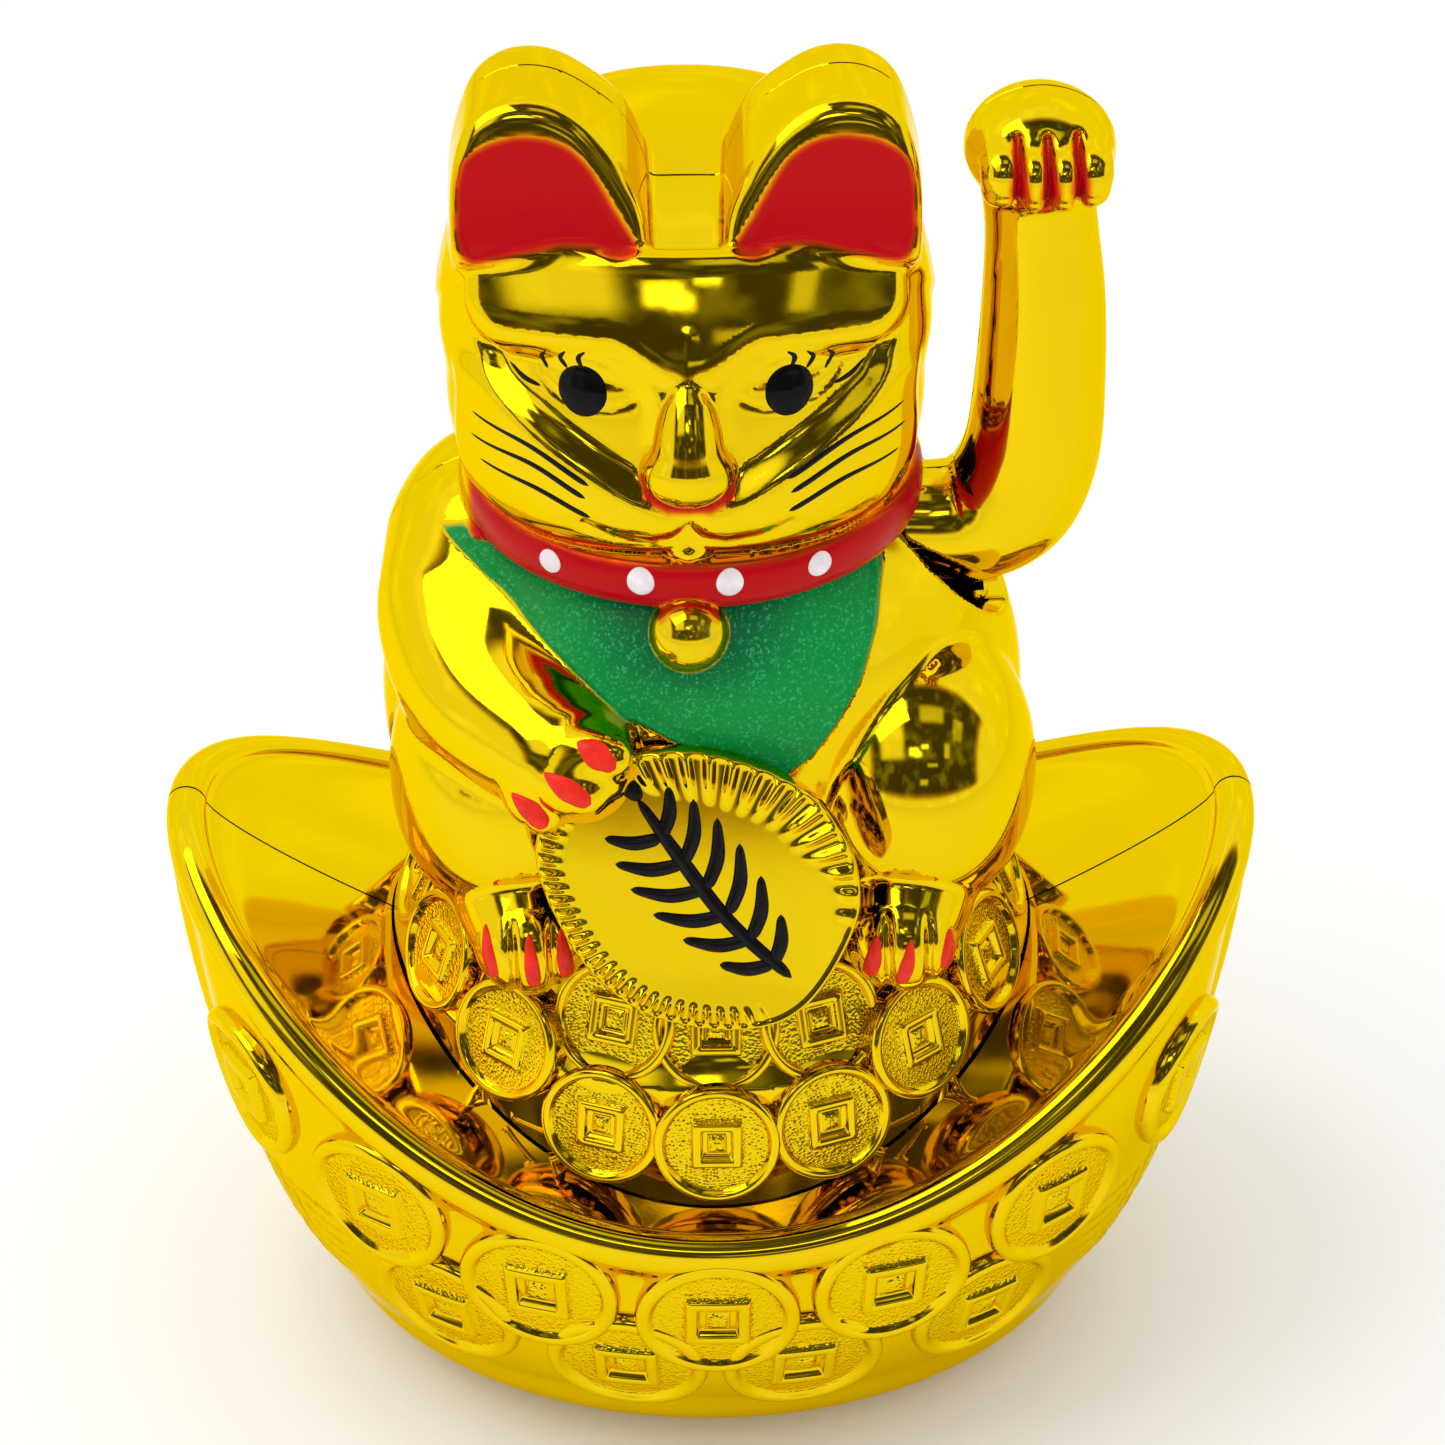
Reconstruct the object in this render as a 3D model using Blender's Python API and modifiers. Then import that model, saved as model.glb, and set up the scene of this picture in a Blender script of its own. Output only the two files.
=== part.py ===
"""Battery-driven beckoning cat: a hollow two-shell cat on a coin mound, seated in a two-shell ingot base.

The origin is the middle of the underside. The cat faces -Y, its raised arm is on the +X side, +Z is up.
The raised arm and a magnet pendulum turn together about the shoulder axis, which lies along X.
"""

import math

import bmesh
import bpy
from mathutils import Matrix, Vector

MM = 0.001
GAP = 0.3 * MM  # clearance between pieces that touch on the real object

# Ingot base
INGOT_LENGTH = 130 * MM
INGOT_DEPTH = 95 * MM
TIP_HEIGHT = 75 * MM
RIM_LOW = 43 * MM  # height of the rim at the middle of the front and back
RIM_RISE = 2.1  # exponent of the rim's rise towards the tips
FOOT_LENGTH = 72 * MM
FOOT_DEPTH = 54 * MM
INGOT_WALL = 1.8 * MM
LIP = 2.3 * MM  # radius of the rolled rim

# Coin mound, which is moulded with the cat and stands through the ingot's floor
MOUND_X = 38.6 * MM
MOUND_Y = 37.6 * MM
MOUND_BOTTOM = 40 * MM
MOUND_TOP = 70.5 * MM
FLOOR_SIDE = 57 * MM  # height of the ingot's floor beside the mound
FLOOR_FRONT = 41 * MM

# Cat
BODY_X = -1 * MM
HEAD_X = -2.8 * MM
HEAD_Z = 138 * MM
EAR_TOP = 168.3 * MM
CAT_WALL = 2 * MM

# Waving mechanism
AXIS_Z = 111.5 * MM
SHOULDER_OPENING = 10 * MM
JOURNAL_R = 3.5 * MM
PIN_R = 1.2 * MM
RUNNING_GAP = 0.25 * MM
ROD_X = 4 * MM
MAGNET_R = 6 * MM
MAGNET_BOTTOM = 46.5 * MM
ARM_ROOT_X = 21.5 * MM
ARM_WALL = 1.5 * MM

# Base plate, battery and electronics
PLATE_T = 2 * MM
CELL_R = 7.1 * MM
CELL_LENGTH = 49 * MM
CELL_Z = 10.4 * MM
BAY_X = 29 * MM
BAY_Y = 8 * MM
BAY_TOP = 19.5 * MM
BAY_WALL = 1.4 * MM
DOOR_X = 28 * MM
DOOR_Y = 8.4 * MM
BOARD_Z = 23 * MM
BOARD_T = 1.2 * MM
COIL_Z = 31 * MM
COIL_TOP = 43 * MM
SCREW_SPOTS = [(x * 20 * MM, y * 16.5 * MM) for x in (-1, 1) for y in (-1, 1)]
SWITCH_Y = 15.5 * MM
FRAME_SCREWS_X = (-2.5 * MM, 10 * MM)
FRAME_SCREWS_Z = 107 * MM


def clear_scene():
    for obj in list(bpy.data.objects):
        bpy.data.objects.remove(obj, do_unlink=True)


def collection(name):
    made = bpy.data.collections.new(name)
    bpy.context.scene.collection.children.link(made)
    return made


def material(name, rgb, roughness, metallic=0.0):
    made = bpy.data.materials.new(name)
    made.use_nodes = True
    shader = made.node_tree.nodes["Principled BSDF"]
    shader.inputs["Base Color"].default_value = (*rgb, 1)
    shader.inputs["Roughness"].default_value = roughness
    shader.inputs["Metallic"].default_value = metallic
    made.diffuse_color = (*rgb, 1)
    return made


clear_scene()
PARTS = collection("beckoning_cat")
CUTTERS = collection("cutters")

GOLD = material("gold_plating", (0.85, 0.62, 0.03), 0.12, 1.0)
YELLOW = material("yellow_plastic", (0.75, 0.55, 0.05), 0.45)
BLACK = material("black_plastic", (0.03, 0.03, 0.03), 0.4)
WHITE = material("white_plastic", (0.8, 0.8, 0.78), 0.45)
STEEL = material("steel", (0.6, 0.6, 0.6), 0.25, 1.0)
COPPER = material("copper", (0.75, 0.3, 0.12), 0.3, 1.0)
BOARD = material("circuit_board", (0.04, 0.25, 0.1), 0.5)
CELL = material("cell_jacket", (0.1, 0.25, 0.5), 0.35)
RED = material("red_insulation", (0.7, 0.03, 0.03), 0.4)


# ---------------------------------------------------------------- building blocks


def smooth(mesh, angle=35):
    mesh.shade_smooth()
    mesh.set_sharp_from_angle(angle=math.radians(angle))


def place(name, mesh, mat, where=PARTS):
    obj = bpy.data.objects.new(name, mesh)
    where.objects.link(obj)
    if where is CUTTERS:
        obj.hide_render = True
        obj.display_type = "WIRE"
    else:
        mesh.materials.clear()
        mesh.materials.append(mat)
        smooth(mesh)
    return obj


def from_bmesh(name, bm, mat=None, where=PARTS):
    bmesh.ops.recalc_face_normals(bm, faces=bm.faces)
    mesh = bpy.data.meshes.new(name)
    bm.to_mesh(mesh)
    bm.free()
    return place(name, mesh, mat, where)


def add_box(bm, low, high):
    low, high = Vector(low), Vector(high)
    scale = Matrix.Diagonal((*(high - low), 1))
    bmesh.ops.create_cube(bm, size=1, matrix=Matrix.Translation((low + high) / 2) @ scale)


def add_cylinder(bm, start, end, radius, sides=24, end_radius=None):
    start, end = Vector(start), Vector(end)
    turn = (end - start).to_track_quat("Z", "Y").to_matrix().to_4x4()
    bmesh.ops.create_cone(
        bm,
        cap_ends=True,
        segments=sides,
        radius1=radius,
        radius2=radius if end_radius is None else end_radius,
        depth=(end - start).length,
        matrix=Matrix.Translation((start + end) / 2) @ turn,
    )


def add_ellipsoid(bm, centre, radii, turn=Matrix.Identity(4), sides=24):
    where = Matrix.Translation(centre) @ turn @ Matrix.Diagonal((*radii, 1))
    bmesh.ops.create_uvsphere(bm, u_segments=sides, v_segments=sides // 2, radius=1, matrix=where)


def add_limb(bm, points, radii, sides=20):
    """A chain of balls and tapered cylinders."""
    for point, radius in zip(points, radii):
        add_ellipsoid(bm, point, (radius,) * 3, sides=sides)
    for a, b, ra, rb in zip(points, points[1:], radii, radii[1:]):
        add_cylinder(bm, a, b, ra, sides, rb)


def box(name, low, high, mat=None, where=PARTS, bevel=0.0):
    bm = bmesh.new()
    add_box(bm, low, high)
    obj = from_bmesh(name, bm, mat, where)
    if bevel:
        rounding = obj.modifiers.new("rounding", "BEVEL")
        rounding.width = bevel
        rounding.segments = 2
    return obj


def cylinder(name, start, end, radius, mat=None, where=PARTS, sides=24):
    bm = bmesh.new()
    add_cylinder(bm, start, end, radius, sides)
    return from_bmesh(name, bm, mat, where)


def boolean(obj, other, operation):
    cut = obj.modifiers.new(operation.lower(), "BOOLEAN")
    cut.object = other
    cut.operation = operation
    cut.solver = "EXACT"


def half_space(name, side, reach):
    """A cutter that holds all in front of the parting plane (side -1) or behind it (side 1)."""
    near, far = side * GAP / 2, side * reach
    low = (-reach, min(near, far), -reach)
    return box(f"{name}_side", low, (reach, max(near, far), 2 * reach), where=CUTTERS)


def drilled(name, start, end, radius):
    return cylinder(name, start, end, radius, where=CUTTERS, sides=16)


def evaluated_copy(obj):
    graph = bpy.context.evaluated_depsgraph_get()
    return bpy.data.meshes.new_from_object(obj.evaluated_get(graph))


def turned(name, profile, mat, axis="Z", centre=(0, 0, 0), steps=24):
    """A solid of revolution from (radius, height) points, outer side first from top to bottom."""
    bm = bmesh.new()
    points = [bm.verts.new((r, 0, h)) for r, h in profile]
    meets_axis = profile[0][0] == 0
    for a, b in zip(points, points[1:] + ([] if meets_axis else points[:1])):
        bm.edges.new((a, b))
    mesh = bpy.data.meshes.new(name)
    bm.to_mesh(mesh)
    bm.free()
    obj = place(name, mesh, mat)
    screw = obj.modifiers.new("turn", "SCREW")
    screw.angle = math.tau
    screw.steps = screw.render_steps = steps
    screw.use_merge_vertices = True
    screw.merge_threshold = 0.01 * MM
    obj.location = centre
    if axis == "X":
        obj.rotation_euler = (0, math.pi / 2, 0)
    return obj


def tube(name, points, radius, mat, resolution=1):
    curve = bpy.data.curves.new(name, "CURVE")
    curve.dimensions = "3D"
    curve.bevel_depth = radius
    curve.bevel_resolution = resolution
    curve.use_fill_caps = True
    line = curve.splines.new("POLY")
    line.points.add(len(points) - 1)
    for knot, point in zip(line.points, points):
        knot.co = (*point, 1)
    curve.materials.append(mat)
    obj = bpy.data.objects.new(name, curve)
    PARTS.objects.link(obj)
    return obj


def smooth_route(points, steps=5):
    """Points along a Catmull-Rom curve through the given ones."""
    points = [Vector(p) for p in points]
    ends = [2 * points[0] - points[1], *points, 2 * points[-1] - points[-2]]
    route = []
    for a, b, c, d in zip(ends, ends[1:], ends[2:], ends[3:]):
        for i in range(steps):
            t = i / steps
            square = (2 * a - 5 * b + 4 * c - d) * t**2
            cube = (3 * b - a - 3 * c + d) * t**3
            route.append((2 * b + (c - a) * t + square + cube) / 2)
    return [*route, points[-1]]


def walled_ring(name, rows, wall):
    """A ring of skin through closed rows of points, given its wall by Solidify on the inner side."""
    bm = bmesh.new()
    grid = [[bm.verts.new(p) for p in row] for row in rows]
    for row, following in zip(grid, grid[1:] + grid[:1]):
        for i in range(len(row) - 1):
            bm.faces.new((row[i], following[i], following[i + 1], row[i + 1]))
    obj = from_bmesh(name, bm, where=CUTTERS)
    shell = obj.modifiers.new("wall", "SOLIDIFY")
    shell.thickness = wall
    shell.offset = -1
    return obj


# ---------------------------------------------------------------- ingot base


def rim_point(angle):
    x = INGOT_LENGTH / 2 * math.cos(angle)
    y = INGOT_DEPTH / 2 * math.sin(angle)
    z = RIM_LOW + (TIP_HEIGHT - RIM_LOW) * abs(math.cos(angle)) ** RIM_RISE
    return Vector((x, y, z))


def ingot_section(angle):
    """Points from the foot, up the hull, over the rolled rim and down the floor to the mound."""
    rim = rim_point(angle)
    outward = Vector((rim.x, rim.y, 0)).normalized()
    foot = Vector((FOOT_LENGTH / 2 * math.cos(angle), FOOT_DEPTH / 2 * math.sin(angle), PLATE_T + GAP))
    points = []
    hull_steps = 6
    hull_top = rim - Vector((0, 0, LIP))
    for i in range(hull_steps):
        turn = math.pi / 2 * (1 - i / hull_steps)
        across = math.cos(turn) ** 0.85
        p = foot.lerp(hull_top, across)
        p.z = foot.z + (hull_top.z - foot.z) * (1 - math.sin(turn) ** 1.15)
        points.append(p)
    lip_steps = 4
    lip_centre = hull_top - outward * LIP
    for i in range(lip_steps + 1):
        turn = math.pi * i / lip_steps
        points.append(lip_centre + outward * LIP * math.cos(turn) + Vector((0, 0, LIP * math.sin(turn))))
    floor_z = FLOOR_FRONT + (FLOOR_SIDE - FLOOR_FRONT) * math.cos(angle) ** 2
    edge = Vector(((MOUND_X + GAP) * math.cos(angle), (MOUND_Y + GAP) * math.sin(angle), floor_z))
    start = points[-1]
    floor_steps = 3
    for i in range(1, floor_steps + 1):
        share = i / floor_steps
        p = start.lerp(edge, share)
        p.z = start.z + (edge.z - start.z) * share**0.8
        points.append(p)
    return points


def ingot_shells():
    segments = 36
    rows = [ingot_section(math.tau * i / segments) for i in range(segments)]
    ring = walled_ring("ingot_ring", rows, INGOT_WALL)
    reach = INGOT_LENGTH
    for name, side in (("ingot_front_shell", -1), ("ingot_rear_shell", 1)):
        shell = place(name, evaluated_copy(ring), GOLD)
        boolean(shell, half_space(name, side, reach), "INTERSECT")
        add_screw_posts(shell, name, side)


def add_screw_posts(shell, name, side):
    """Posts on the inside of the hull, each with a web to the wall and a blind hole for a base screw."""
    for index, (x, y) in enumerate(SCREW_SPOTS):
        if y * side < 0:
            continue
        top = 14 * MM
        bottom = PLATE_T + GAP
        reach = 8 * MM
        post = drilled(f"{name}_post_{index}", (x, y, bottom), (x, y, top), 3.2 * MM)
        bm = bmesh.new()
        add_box(bm, (0, -1 * MM, 4.2 * MM), (reach, 1 * MM, top))
        bmesh.ops.transform(
            bm,
            matrix=Matrix.Translation((x, y, 0)) @ Matrix.Rotation(math.atan2(y, x), 4, "Z"),
            verts=bm.verts,
        )
        web = from_bmesh(f"{name}_web_{index}", bm, where=CUTTERS)
        hole = drilled(f"{name}_hole_{index}", (x, y, 0), (x, y, 11 * MM), 1.5 * MM)
        boolean(shell, post, "UNION")
        boolean(shell, web, "UNION")
        boolean(shell, hole, "DIFFERENCE")


def ellipse_disc(bm, half_x, half_y, low, high, sides=48):
    bmesh.ops.create_cone(
        bm,
        cap_ends=True,
        segments=sides,
        radius1=1,
        radius2=1,
        depth=high - low,
        matrix=Matrix.Translation((0, 0, (low + high) / 2)) @ Matrix.Diagonal((half_x, half_y, 1, 1)),
    )


def base_plate():
    """The bottom cover with the battery bay moulded on it."""
    bm = bmesh.new()
    ellipse_disc(bm, FOOT_LENGTH / 2 - MM, FOOT_DEPTH / 2 - MM, 0, PLATE_T)
    plate = from_bmesh("base_plate", bm, YELLOW)
    bay_low = (-BAY_X - BAY_WALL, -BAY_Y - BAY_WALL, PLATE_T / 2)
    bay_high = (BAY_X + BAY_WALL, BAY_Y + BAY_WALL, BAY_TOP + BAY_WALL)
    bay = box("bay_walls", bay_low, bay_high, where=CUTTERS)
    boolean(plate, bay, "UNION")
    for index, x in enumerate((-16 * MM, 16 * MM)):
        foot = (x, 0, BAY_TOP + BAY_WALL / 2)
        post = drilled(f"board_post_{index}", foot, (x, 0, BOARD_Z - GAP), 2.4 * MM)
        hole = drilled(f"board_hole_{index}", (x, 0, BAY_TOP + BAY_WALL), (x, 0, BOARD_Z), 1.1 * MM)
        boolean(plate, post, "UNION")
        boolean(plate, hole, "DIFFERENCE")
    inside = box("bay_space", (-BAY_X, -BAY_Y, PLATE_T), (BAY_X, BAY_Y, BAY_TOP), where=CUTTERS)
    mouth_high = (DOOR_X + GAP, BAY_Y - GAP, PLATE_T + MM)
    mouth = box("bay_mouth", (-DOOR_X - GAP, -BAY_Y + GAP, -MM), mouth_high, where=CUTTERS)
    rebate_low = (-DOOR_X - 2 * GAP, -DOOR_Y - GAP, -MM)
    rebate_high = (DOOR_X + 2 * GAP, DOOR_Y + GAP, 1.3 * MM)
    rebate = box("door_rebate", rebate_low, rebate_high, where=CUTTERS)
    slot_low = (-4.5 * MM, SWITCH_Y - 1.5 * MM, -MM)
    slot = box("switch_slot", slot_low, (4.5 * MM, SWITCH_Y + 1.5 * MM, 3 * MM), where=CUTTERS)
    for cutter in (inside, mouth, rebate, slot):
        boolean(plate, cutter, "DIFFERENCE")
    for index, (x, y) in enumerate(SCREW_SPOTS):
        hole = drilled(f"plate_hole_{index}", (x, y, -MM), (x, y, 3 * MM), 1.6 * MM)
        sink = drilled(f"plate_sink_{index}", (x, y, -MM), (x, y, 1.4 * MM), 3 * MM)
        boolean(plate, hole, "DIFFERENCE")
        boolean(plate, sink, "DIFFERENCE")


def battery_door():
    """The lid over the battery bay, with a finger notch and a snap tab at one end."""
    bm = bmesh.new()
    add_box(bm, (-DOOR_X, -DOOR_Y, 0), (DOOR_X, DOOR_Y, 1 * MM))
    door = from_bmesh("battery_door", bm, YELLOW)
    tab = box("door_tab", (DOOR_X - 1.8 * MM, -3 * MM, 0.5 * MM), (DOOR_X, 3 * MM, 2.9 * MM), where=CUTTERS)
    notch = cylinder(
        "door_notch", (DOOR_X - 7 * MM, 0, -1.6 * MM), (DOOR_X - 7 * MM, 0, 0.5 * MM), 3 * MM, where=CUTTERS
    )
    boolean(door, tab, "UNION")
    boolean(door, notch, "DIFFERENCE")


def screw(name, head, tip, head_r, shank_r, slot_turn=0.0):
    """A pan-head screw whose head starts at head and whose shank ends at tip, with a cross recess."""
    head, tip = Vector(head), Vector(tip)
    along = (tip - head).normalized()
    under_head = head + along * 1.2 * MM
    made = cylinder(name, head, under_head, head_r, STEEL, sides=16)
    shank = cylinder(name + "_shank", under_head - along * 0.4 * MM, tip, shank_r, where=CUTTERS, sides=12)
    boolean(made, shank, "UNION")
    turn = along.to_track_quat("Z", "Y").to_matrix().to_4x4()
    bm = bmesh.new()
    half, deep = head_r * 0.62, 0.6 * MM
    add_box(bm, (-half, -0.25 * MM, -deep), (half, 0.25 * MM, deep))
    spin = Matrix.Rotation(slot_turn, 4, "Z")
    bmesh.ops.transform(bm, matrix=Matrix.Translation(head) @ turn @ spin, verts=bm.verts)
    recess = from_bmesh(name + "_recess", bm, where=CUTTERS)
    boolean(made, recess, "DIFFERENCE")


def battery():
    cell_x = 2 * MM  # pushed towards the plus contact by the spring
    half = CELL_LENGTH / 2
    turned(
        "battery_cell",
        [
            (0, half + 1.2 * MM),
            (2.6 * MM, half + 1.2 * MM),
            (2.7 * MM, half),
            (CELL_R - 0.5 * MM, half),
            (CELL_R, half - 0.6 * MM),
            (CELL_R, -half + 0.6 * MM),
            (CELL_R - 0.5 * MM, -half),
            (0, -half),
        ],
        CELL,
        axis="X",
        centre=(cell_x, 0, CELL_Z),
    )
    plus_x = BAY_X - GAP
    box("plus_contact", (plus_x - 0.6 * MM, -5 * MM, 6 * MM), (plus_x, 5 * MM, 16 * MM), STEEL)
    turns, per_turn = 3, 10
    start = Vector((-BAY_X + 0.9 * MM, 0, CELL_Z))
    length = cell_x - half - GAP - start.x - 0.4 * MM
    spring = []
    for i in range(turns * per_turn + 1):
        share = i / (turns * per_turn)
        angle = math.tau * turns * share
        radius = (4.6 - 2.2 * share) * MM
        spring.append(
            (start.x + length * share, radius * math.cos(angle), start.z + radius * math.sin(angle))
        )
    tube("negative_spring", spring, 0.35 * MM, STEEL, resolution=0)


def slide_switch():
    body_low = (-6.5 * MM, SWITCH_Y - 3 * MM, PLATE_T + GAP)
    housing = box("switch_housing", body_low, (6.5 * MM, SWITCH_Y + 3 * MM, 7.5 * MM), BLACK)
    well_low = (-4.5 * MM, SWITCH_Y - 1.5 * MM, 0)
    well = box("switch_well", well_low, (4.5 * MM, SWITCH_Y + 1.5 * MM, 5 * MM), where=CUTTERS)
    boolean(housing, well, "DIFFERENCE")
    box(
        "switch_knob",
        (-3.5 * MM, SWITCH_Y - 1.2 * MM, 0.5 * MM),
        (-0.5 * MM, SWITCH_Y + 1.2 * MM, 4.6 * MM),
        BLACK,
    )


def electronics():
    board = box(
        "circuit_board", (-21 * MM, -13 * MM, BOARD_Z), (21 * MM, 13 * MM, BOARD_Z + BOARD_T), BOARD
    )
    for index, x in enumerate((-16 * MM, 16 * MM)):
        hole = drilled(f"board_clear_{index}", (x, 0, BOARD_Z - MM), (x, 0, BOARD_Z + 2 * MM), 1.3 * MM)
        boolean(board, hole, "DIFFERENCE")
        screw(
            f"board_screw_{index + 1}",
            (x, 0, BOARD_Z + BOARD_T + 1.2 * MM + GAP),
            (x, 0, BAY_TOP + BAY_WALL + 0.4 * MM),
            2 * MM,
            0.9 * MM,
        )
    top = BOARD_Z + BOARD_T + GAP
    bobbin_inner, bobbin_outer, flange = 4 * MM, 5 * MM, 1 * MM
    turned(
        "coil_bobbin",
        [
            (10 * MM, COIL_TOP),
            (10 * MM, COIL_TOP - flange),
            (bobbin_outer, COIL_TOP - flange),
            (bobbin_outer, COIL_Z + flange),
            (10 * MM, COIL_Z + flange),
            (10 * MM, COIL_Z),
            (6.5 * MM, COIL_Z),
            (6.5 * MM, top),
            (bobbin_inner, top),
            (bobbin_inner, COIL_TOP),
        ],
        WHITE,
        centre=(ROD_X, 0, 0),
    )
    turned(
        "coil_winding",
        [
            (9.2 * MM, COIL_TOP - flange - GAP),
            (9.2 * MM, COIL_Z + flange + GAP),
            (bobbin_outer + GAP, COIL_Z + flange + GAP),
            (bobbin_outer + GAP, COIL_TOP - flange - GAP),
        ],
        COPPER,
        centre=(ROD_X, 0, 0),
    )
    box("driver_chip", (-14 * MM, 5 * MM, top), (-8 * MM, 10 * MM, top + 2.4 * MM), BLACK)
    turned(
        "capacitor",
        [(0, 9 * MM), (2.2 * MM, 9 * MM), (2.5 * MM, 8.7 * MM), (2.5 * MM, 0), (0, 0)],
        CELL,
        centre=(-11 * MM, -6 * MM, top),
        steps=16,
    )
    turned(
        "resistor",
        [
            (0, 3.4 * MM),
            (0.9 * MM, 3.4 * MM),
            (1.2 * MM, 3 * MM),
            (1.0 * MM, 1.6 * MM),
            (1.0 * MM, -1.6 * MM),
            (1.2 * MM, -3 * MM),
            (0.9 * MM, -3.4 * MM),
            (0, -3.4 * MM),
        ],
        WHITE,
        axis="X",
        centre=(15 * MM, 9 * MM, top + 1.5 * MM),
        steps=12,
    )


def leads():
    """The insulated leads between the battery contacts, the switch and the board."""
    lead_r = 0.6 * MM
    outside = BAY_X + BAY_WALL + 1.4 * MM
    red = [
        (outside, 3, 12), (outside + 0.2 * MM, 5, 19), (outside - 2.6 * MM, 7, 23.6),
        (25 * MM, 8, 25.4), (21.9 * MM, 8, 25.6), (19 * MM, 6, 25.6),
    ]
    black = [
        (-outside, -3, 12), (-outside - 0.2 * MM, -5, 19), (-outside + 2.6 * MM, -7, 23.6),
        (-25 * MM, -8, 25.4), (-21.9 * MM, -8, 25.6), (-19 * MM, -6, 25.6),
    ]
    yellow = [
        (2 * MM, 15.5, 8.5), (3 * MM, 16, 12), (4 * MM, 17, 17), (2 * MM, 17, 22),
        (0 * MM, 15, 25.5), (-1 * MM, 12, 26), (-2 * MM, 9.5, 25.6),
    ]
    for name, route, mat in (
        ("battery_plus_lead", red, RED),
        ("battery_minus_lead", black, BLACK),
        ("switch_lead", yellow, YELLOW),
    ):
        points = [(x, y * MM, z * MM) for x, y, z in route]
        tube(name, smooth_route(points, 3), lead_r, mat)


# ---------------------------------------------------------------- cat shells

# Height, half width and half depth of the mound, from its hidden lower edge to its top
MOUND_RINGS = [
    (MOUND_BOTTOM, MOUND_X, MOUND_Y),
    (55 * MM, MOUND_X, MOUND_Y),
    (61 * MM, 36.8 * MM, 35.6 * MM),
    (66 * MM, 34.5 * MM, 33 * MM),
    (MOUND_TOP, 30.5 * MM, 29.5 * MM),
]
# Centre and radii of the rounded masses whose inside is hollow
MASSES = {
    "body": ((BODY_X, 2 * MM, 88 * MM), (37.5 * MM, 29.5 * MM, 38 * MM)),
    "belly": ((0, -12 * MM, 100 * MM), (24 * MM, 17 * MM, 19 * MM)),
    "left_thigh": ((-23 * MM, -13 * MM, 87 * MM), (14 * MM, 18 * MM, 17 * MM)),
    "right_thigh": ((23 * MM, -13 * MM, 87 * MM), (14 * MM, 18 * MM, 17 * MM)),
    "lowered_shoulder": ((-24 * MM, 2 * MM, 105 * MM), (13.6 * MM, 17 * MM, 16 * MM)),
    "head": ((HEAD_X, 2 * MM, HEAD_Z), (26.7 * MM, 23 * MM, 17 * MM)),
    "back_of_head": ((HEAD_X, 11 * MM, 137 * MM), (25.5 * MM, 22 * MM, 21.5 * MM)),
    "cheeks": ((HEAD_X, -6 * MM, 130 * MM), (26 * MM, 20 * MM, 10 * MM)),
    "brow": ((HEAD_X, -9 * MM, 146.5 * MM), (25 * MM, 12 * MM, 6.5 * MM)),
    "left_ear": ((HEAD_X - 16.4 * MM, 1.5 * MM, 152 * MM), (11.2 * MM, 10.5 * MM, EAR_TOP - 152 * MM)),
    "right_ear": ((HEAD_X + 16.4 * MM, 1.5 * MM, 152 * MM), (11.2 * MM, 10.5 * MM, EAR_TOP - 152 * MM)),
}


def add_mound(bm, inset, bottom):
    sides = 40
    rings = []
    for z, half_x, half_y in MOUND_RINGS:
        z = bottom if z == MOUND_BOTTOM else z - inset
        rings.append(
            [
                bm.verts.new(
                    (
                        (half_x - inset) * math.cos(math.tau * i / sides),
                        (half_y - inset) * math.sin(math.tau * i / sides),
                        z,
                    )
                )
                for i in range(sides)
            ]
        )
    for lower, upper in zip(rings, rings[1:]):
        for i in range(sides):
            j = (i + 1) % sides
            bm.faces.new((lower[i], lower[j], upper[j], upper[i]))
    bm.faces.new(rings[-1])
    bm.faces.new(rings[0][::-1])


def add_masses(bm, inset):
    for centre, radii in MASSES.values():
        add_ellipsoid(bm, centre, tuple(r - inset for r in radii), sides=32)


def add_koban(bm):
    """The oval plaque that the cat holds, tilted back and turned."""
    turn = Matrix.Rotation(math.radians(-22), 4, "X") @ Matrix.Rotation(math.radians(-40), 4, "Y")
    where = Matrix.Translation((-1 * MM, -36 * MM, 86 * MM)) @ turn
    bmesh.ops.create_cone(
        bm,
        cap_ends=True,
        segments=32,
        radius1=1,
        radius2=1,
        depth=3.5 * MM,
        matrix=where @ Matrix.Diagonal((14.3 * MM, 1, 17.4 * MM, 1)) @ Matrix.Rotation(math.pi / 2, 4, "X"),
    )


def add_cat_form(bm):
    """The outside of the cat and its mound, as overlapping masses."""
    add_mound(bm, 0, MOUND_BOTTOM)
    add_masses(bm, 0)
    nose = [(HEAD_X, -21 * MM, 143 * MM), (HEAD_X, -25.5 * MM, 133 * MM)]
    add_limb(bm, nose, [2.4 * MM, 3 * MM])
    for side in (-1, 1):
        foot = [(side * 23 * MM, -20 * MM, 77 * MM), (side * 21 * MM, -30 * MM, 74.5 * MM)]
        add_limb(bm, foot, [8 * MM, 6.5 * MM])
    add_ellipsoid(bm, (HEAD_X / 2, -4 * MM, 117 * MM), (24 * MM, 21.5 * MM, 5 * MM))  # collar
    add_ellipsoid(bm, (HEAD_X, -25.5 * MM, 112.5 * MM), (4.3 * MM,) * 3)  # bell
    shoulder, elbow = (-28 * MM, -6 * MM, 106 * MM), (-26 * MM, -20 * MM, 101 * MM)
    add_limb(bm, [shoulder, elbow, (-14.5 * MM, -31 * MM, 99.5 * MM)], [9.5 * MM, 8.5 * MM, 6.5 * MM])
    tail = [(9 * MM, 30 * MM, 74 * MM), (1 * MM, 33.5 * MM, 82 * MM), (-3 * MM, 32 * MM, 92 * MM)]
    add_limb(bm, tail, [4.5 * MM, 4.5 * MM, 4 * MM])
    add_koban(bm)


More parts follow.
